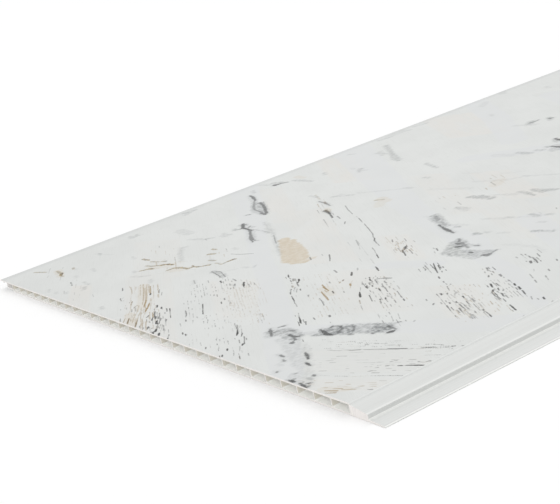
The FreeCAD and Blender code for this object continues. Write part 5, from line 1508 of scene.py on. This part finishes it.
class PanelSizes(bpy.types.PropertyGroup):
    """Sizes and colours of the extrusion."""

    flange_reach: length_setting("Flange reach", "How far the nailing flange stands out", 20.0)
    flange_thick: length_setting("Flange thickness", "Thickness of the nailing flange", 1.0)
    flange_tip: length_setting("Flange tip", "Thickness of the flange at its outer edge", 0.4)
    tongue_reach: length_setting("Tongue reach", "How far the tongue stands out", 10.5)
    tongue_root: length_setting("Tongue root", "Height of the tongue's top at the face's edge", 4.4)
    nose_height: length_setting("Nose height", "Height of the tongue's nose", 2.9)
    skin: length_setting("Skin", "Thickness of the face and back skins", 0.7)
    web: length_setting("Web", "Thickness of the webs between the cells", 0.5)
    side_wall: length_setting("Side wall", "Thickness of the wall at each side of the cells", 0.7)
    cell_round: length_setting("Cell rounding", "Radius of the cells' corners", 0.3)
    near_cell_round: length_setting("First cell rounding", "Radius of the first cell's upper corner", 0.6)
    edge_round: length_setting("Face edge rounding", "Radius of the face's edge over the tongue", 1.0)
    lip_round: length_setting("Far edge rounding", "Radius of the lip's outer edge", 0.4)
    lip_thick: length_setting("Lip thickness", "Thickness of the lip over the next tongue", 0.5)
    recess_top: length_setting("Recess height", "Height of the recess for the next flange", 1.1)
    low_floor: length_setting("Low cell floor", "Height of the floor of the last, low cell", 1.7)
    groove_depth: length_setting("Groove depth", "How far the lip reaches over the next tongue", 11.0)
    recess_depth: length_setting("Recess depth", "Width of the recess for the next flange", 20.5)
    bead_height: length_setting("Bead height", "How far the bead hangs below the lip", 0.736)
    bead_inset: length_setting("Bead inset", "The bead's distance from the far edge", 5.5)
    full_cells: bpy.props.IntProperty(name="Cells", description="Cells of full height", default=30, min=1)
    plastic: colour_setting("PVC", "Colour of the plain PVC", 218, 220, 218)
    plastic_shade: colour_setting("PVC shade", "The darker streaks of the plain PVC", 214, 215, 213)
    plastic_web: colour_setting("PVC over webs", "Colour of the skin over a web", 206, 208, 206)
    # Painted light for the flange beside the tongue's nose, the nose's upper edge and the flange's outer
    # edge.
    plastic_painted_light: colour_setting("Thin PVC", "The edges that let light through", 246, 247, 244)
    # The cells' colours are painted lighter than the PVC outside, for the light that comes through the skins.
    cell_lit_white: colour_setting("Cell walls", "The cells' walls, which let light through", 230, 228, 226)
    cell_lit_streaks: colour_setting("Cell shade", "The darker streaks inside the cells", 224, 222, 220)
    # Painted shade on the upper part of the webs' sides.
    web_side_shade: colour_setting("Web sides", "The sides of the webs, which stay in the dark", 213, 209, 197)
    # The sawn ends' colours carry painted light: they are lighter than the same PVC of the skins.
    sawn: colour_setting("Sawn PVC", "Colour of the sawn ends", 237, 233, 230)
    sawn_shade: colour_setting("Sawn PVC shade", "The saw's darker marks", 225, 221, 218)


class PrintInks(bpy.types.PropertyGroup):
    """Colours of the printed film."""

    ground: colour_setting("Ground", "The film's pale ground", 211, 213, 211)
    ground_light: colour_setting("Light ground", "The lighter clouds of the ground", 214, 216, 214)
    cream: colour_setting("Cream", "The warm planks", 215, 213.5, 209)
    stone: colour_setting("Stone", "The smooth stone bands", 211, 213, 213.4)
    grain_line: colour_setting("Grain line", "The faint lines in the planks", 168, 167, 158)
    wash: colour_setting("Wash", "The grey washes in the stone", 116, 120, 121)
    slate: colour_setting("Slate", "The lighter parts of the veins", 96, 99, 99)
    black: colour_setting("Black", "The darkest ink", 36, 38, 36)
    worn_black: colour_setting("Worn black", "The black of the worn grain", 32, 32, 30)
    worn_gold: colour_setting("Worn gold", "The light brown of the worn grain", 150, 124, 76)
    gold: colour_setting("Gold", "The light part of the rubs", 164, 146, 104)
    brown: colour_setting("Brown", "The dark brown of the rubs", 86, 76, 58)
    tan: colour_setting("Tan", "The tan stains", 199, 187, 166)
    tan_light: colour_setting("Light tan", "The paler parts of the stains", 207, 198, 182)
    # The unprinted film over the near edge's rounding, painted lighter against the shade there.
    unprinted_edge_light: colour_setting("Film edge", "The film where it turns down to the tongue", 230, 232, 230)
    # Painted shade along the film's far edge.
    rim_shade: colour_setting("Rim", "The film's edge over the groove", 176, 178, 178)


def in_millimetres(group):
    """A group's settings as plain values, with its lengths in millimetres."""
    values = {}
    for name in group.__annotations__:
        value = getattr(group, name)
        if group.bl_rna.properties[name].unit == "LENGTH":
            value = value / MM
        elif group.bl_rna.properties[name].subtype == "COLOR":
            value = tuple(value)
        values[name] = value
    return types.SimpleNamespace(**values)


def panel_sizes(context):
    """The extrusion's settings and the places that follow from them."""
    sizes = in_millimetres(context.scene.wall_panel_sizes)
    sizes.groove_back = WIDTH - sizes.groove_depth
    sizes.recess_start = WIDTH - sizes.recess_depth
    sizes.cells_start = sizes.flange_reach + sizes.side_wall
    sizes.pitch = (sizes.recess_start - sizes.cells_start) / sizes.full_cells
    return sizes


# Operators

# How many cross sections the skins and the cell walls have along the length.
SECTIONS = 27

# The printed face: the share of the length that is near the photograph's cut end and is finely divided, how
# many lengths it is made in and how many the rest is made in, and how far apart their cross lines are.
FINE_SHARE = 1 / 8
FINE_LENGTHS = 4
COARSE_LENGTHS = 7
FINE_SPACING = 0.45
COARSE_SPACING = 1.0

# How far a cut end's area may be from that of the section, in square millimetres.
AREA_CLOSE = 0.5


class PANEL_OT_extrusion(bpy.types.Operator):
    """Build the outer skin and the walls of the cells"""

    bl_idname = "wall_panel.extrusion"
    bl_label = "Extrusion"

    def execute(self, context):
        sizes = panel_sizes(context)
        stations = np.linspace(0, LENGTH, SECTIONS)
        points, quads = carried(outer_chain(sizes), stations, False)
        finished(new_mesh("outer_skin", points, quads), plastic_material("extruded_pvc", sizes))
        points, quads = joined([carried(loop, stations, True) for loop in cell_loops(sizes)])
        finished(new_mesh("cell_walls", points, quads), plastic_material("cell_pvc", sizes, True))
        return {"FINISHED"}


class PANEL_OT_cut_ends(bpy.types.Operator):
    """Close both sawn ends, with the cells left open"""

    bl_idname = "wall_panel.cut_ends"
    bl_label = "Cut ends"

    def execute(self, context):
        sizes = panel_sizes(context)
        sawn = sawn_material(sizes)
        outline = np.vstack([outer_chain(sizes), far_rounding(sizes)[::-1][1:],
                             near_rounding(sizes)[::-1][:-1]])
        loops = [outline] + cell_loops(sizes)
        for name, x, looks in (("cut_end_near", 0.0, -1.0), ("cut_end_far", LENGTH, 1.0)):
            finished(self.end(name, loops, x, looks), sawn)
        return {"FINISHED"}

    def end(self, name, loops, x, looks):
        """A flat sheet between the outline and the cells' outlines, in the plane of the cut. It looks along x
        or against it, and its area has to be the outline's less the cells'."""
        sheet = bmesh.new()
        edges = []
        for loop in loops:
            ring = [sheet.verts.new(point) for point in place(np.full(len(loop), x), loop[:, 0], loop[:, 1])]
            edges += [sheet.edges.new((ring[i], ring[(i + 1) % len(ring)])) for i in range(len(ring))]
        bmesh.ops.triangle_fill(sheet, use_beauty=True, edges=edges, normal=(looks, 0, 0))
        for face in sheet.faces:
            if face.normal.x * looks < 0:
                face.normal_flip()
        area = sum(face.calc_area() for face in sheet.faces) / MM ** 2
        wanted = sum(enclosed(loop) for loop in loops)
        if abs(area - wanted) > AREA_CLOSE:
            raise RuntimeError(f"the cut end has {area:.1f} square millimetres, not {wanted:.1f}")
        mesh = bpy.data.meshes.new(name)
        sheet.to_mesh(mesh)
        sheet.free()
        return in_scene(name, mesh)


class PANEL_OT_printed_face(bpy.types.Operator):
    """Build the printed face in lengths, each with the print's layers"""

    bl_idname = "wall_panel.printed_face"
    bl_label = "Printed face"

    def execute(self, context):
        sizes = panel_sizes(context)
        film = print_material(in_millimetres(context.scene.wall_panel_inks), sizes)
        layout = whole_layout()
        fine_end = LENGTH * FINE_SHARE
        starts = np.concatenate([np.linspace(0, fine_end, FINE_LENGTHS + 1),
                                 np.linspace(fine_end, LENGTH, COARSE_LENGTHS + 1)[1:]])
        for part, (start, end) in enumerate(zip(starts, starts[1:])):
            spacing = FINE_SPACING if part < FINE_LENGTHS else COARSE_SPACING
            self.length(f"printed_face_{part + 1}", start, end, spacing, sizes, film, layout)
        return {"FINISHED"}

    def length(self, name, start, end, spacing, sizes, film, layout):
        """One length of the face: the far edge's arc, the flat and the near edge's arc, carried from one
        cross line to the next. The lines are spaced so that the faces' diagonals run along the grain. The
        map unrolls the face, with the length to the right and the width upwards."""
        far = far_rounding(sizes)[::-1]
        near = near_rounding(sizes)[::-1]
        count = int(round((far[-1, 0] - near[0, 0]) / (spacing * math.tan(GRAIN))))
        flat = np.linspace(far[-1, 0], near[0, 0], count + 1)[1:-1]
        chain = np.vstack([far, np.stack([flat, np.full(len(flat), THICK)], 1), near])
        stations = np.linspace(start, end, int(round((end - start) / spacing)) + 1)
        points, quads = carried(chain, stations, False)
        layers = ink_layers(stations, chain[:, 0] - sizes.flange_reach, layout)
        leaning = layers["lean"].ravel()[quads[:, 0]] < 0
        forward = np.where(leaning[:, None], quads[:, [0, 1, 2]], quads[:, [1, 2, 3]])
        behind = np.where(leaning[:, None], quads[:, [0, 2, 3]], quads[:, [1, 3, 0]])
        piece = new_mesh(name, points, np.stack([forward, behind], 1).reshape(-1, 3), 60.0)
        mesh = piece.data
        for layer, values in layers.items():
            attribute = mesh.attributes.new(layer, "FLOAT", "POINT")
            attribute.data.foreach_set("value", values.ravel().astype(np.float32))
        unrolled = np.concatenate([[0], np.cumsum(np.linalg.norm(np.diff(chain, axis=0), axis=1))])
        right = (np.repeat(stations, len(chain)) - start) / (end - start)
        up = 1 - np.tile(unrolled / unrolled[-1], len(stations))
        corners = np.empty(len(mesh.loops), np.int32)
        mesh.loops.foreach_get("vertex_index", corners)
        unwrapped = np.stack([right[corners], up[corners]], 1).ravel()
        mesh.uv_layers.new(name="OFBake").data.foreach_set("uv", unwrapped.astype(np.float32))
        finished(piece, film)


# The camera of the photograph, fitted to the panel's edges and cells: its width of film and focal length in
# millimetres, and its place and turn as the rows of a matrix.
CAMERA_FILM = 36.0
CAMERA_LENS = 80.595
CAMERA_PLACE = Matrix((
    (0.81870, 0.33639, -0.46538, -1.51095),
    (-0.52223, 0.09917, -0.84702, -0.53947),
    (-0.23878, 0.93649, 0.25686, 0.17693),
    (0.0, 0.0, 0.0, 1.0),
))

# The suns: strength, width of the disc in degrees, and the direction that the light comes from.
SUNS = {
    "sun_behind": (0.95, 50.0, (0.42, 0.62, 0.66)),
    "sun_left": (1.08, 40.0, (-0.70, -0.40, 0.58)),
}

# The floor: half its width and its level in metres, and its colour.
FLOOR_REACH = 30.0
FLOOR_LEVEL = -0.0001
FLOOR_COLOUR = (0.985, 0.985, 0.985)


class PANEL_OT_stage(bpy.types.Operator):
    """Make the floor, the soft light and the camera"""

    bl_idname = "wall_panel.stage"
    bl_label = "Stage"

    def execute(self, context):
        scene = context.scene
        self.floor()
        self.sky(scene)
        for name, (strength, width, towards) in SUNS.items():
            self.sun(name, strength, width, towards)
        data = bpy.data.cameras.new("camera")
        data.sensor_width = CAMERA_FILM
        data.lens = CAMERA_LENS
        scene.camera = in_scene("camera", data)
        scene.camera.matrix_world = CAMERA_PLACE
        scene.view_settings.view_transform = "Standard"
        return {"FINISHED"}

    def floor(self):
        corners = np.array([(-1, -1), (1, -1), (1, 1), (-1, 1)]) * FLOOR_REACH
        points = np.column_stack([corners, np.full(4, FLOOR_LEVEL)])
        floor = new_mesh("floor", points, np.array([[0, 1, 2, 3]]))
        floor.data.materials.append(Graph("pale_floor").finish(FLOOR_COLOUR, 1.0, 0.0))

    def sky(self, scene):
        """A pure white to the camera and a weaker white light on the panel."""
        world = bpy.data.worlds.new("soft_sky")
        scene.world = world
        world.use_nodes = True
        nodes = world.node_tree.nodes
        links = world.node_tree.links
        background = nodes["Background"]
        background.inputs["Color"].default_value = (1.0, 1.0, 1.0, 1.0)
        path = nodes.new("ShaderNodeLightPath")
        strength = nodes.new("ShaderNodeMapRange")
        strength.inputs["To Min"].default_value = SKY
        strength.inputs["To Max"].default_value = 1.0
        links.new(path.outputs["Is Camera Ray"], strength.inputs["Value"])
        links.new(strength.outputs[0], background.inputs["Strength"])

    def sun(self, name, strength, width, towards):
        """A sun that shines from the direction given: its own z axis points back along that direction."""
        data = bpy.data.lights.new(name, "SUN")
        data.energy = strength
        data.angle = math.radians(width)
        back = np.array(towards) / np.linalg.norm(towards)
        side = np.cross((0.0, 0.0, 1.0), back)
        side /= np.linalg.norm(side)
        turned = np.eye(4)
        turned[:3, :3] = np.column_stack([side, np.cross(back, side), back])
        turned[2, 3] = 1.0
        in_scene(name, data).matrix_world = Matrix(turned.tolist())


class PANEL_PT_sidebar(bpy.types.Panel):
    """Lists the steps that build the panel, with its sizes and inks"""

    bl_idname = "PANEL_PT_sidebar"
    bl_label = "Wall panel"
    bl_space_type = "VIEW_3D"
    bl_region_type = "UI"
    bl_category = "Wall panel"

    def draw(self, context):
        layout = self.layout
        for operator in OPERATORS:
            layout.operator(operator.bl_idname)
        for group in (context.scene.wall_panel_sizes, context.scene.wall_panel_inks):
            box = layout.box()
            for setting in group.__annotations__:
                box.prop(group, setting)


OPERATORS = (PANEL_OT_extrusion, PANEL_OT_cut_ends, PANEL_OT_printed_face, PANEL_OT_stage)
CLASSES = (PanelSizes, PrintInks, *OPERATORS, PANEL_PT_sidebar)


def register():
    for part in CLASSES:
        bpy.utils.register_class(part)
    bpy.types.Scene.wall_panel_sizes = bpy.props.PointerProperty(type=PanelSizes)
    bpy.types.Scene.wall_panel_inks = bpy.props.PointerProperty(type=PrintInks)


def unregister():
    del bpy.types.Scene.wall_panel_inks
    del bpy.types.Scene.wall_panel_sizes
    for part in reversed(CLASSES):
        bpy.utils.unregister_class(part)


def main():
    register()
    bpy.ops.wall_panel.extrusion()
    bpy.ops.wall_panel.cut_ends()
    bpy.ops.wall_panel.printed_face()
    bpy.ops.wall_panel.stage()


if __name__ == "__main__":
    main()
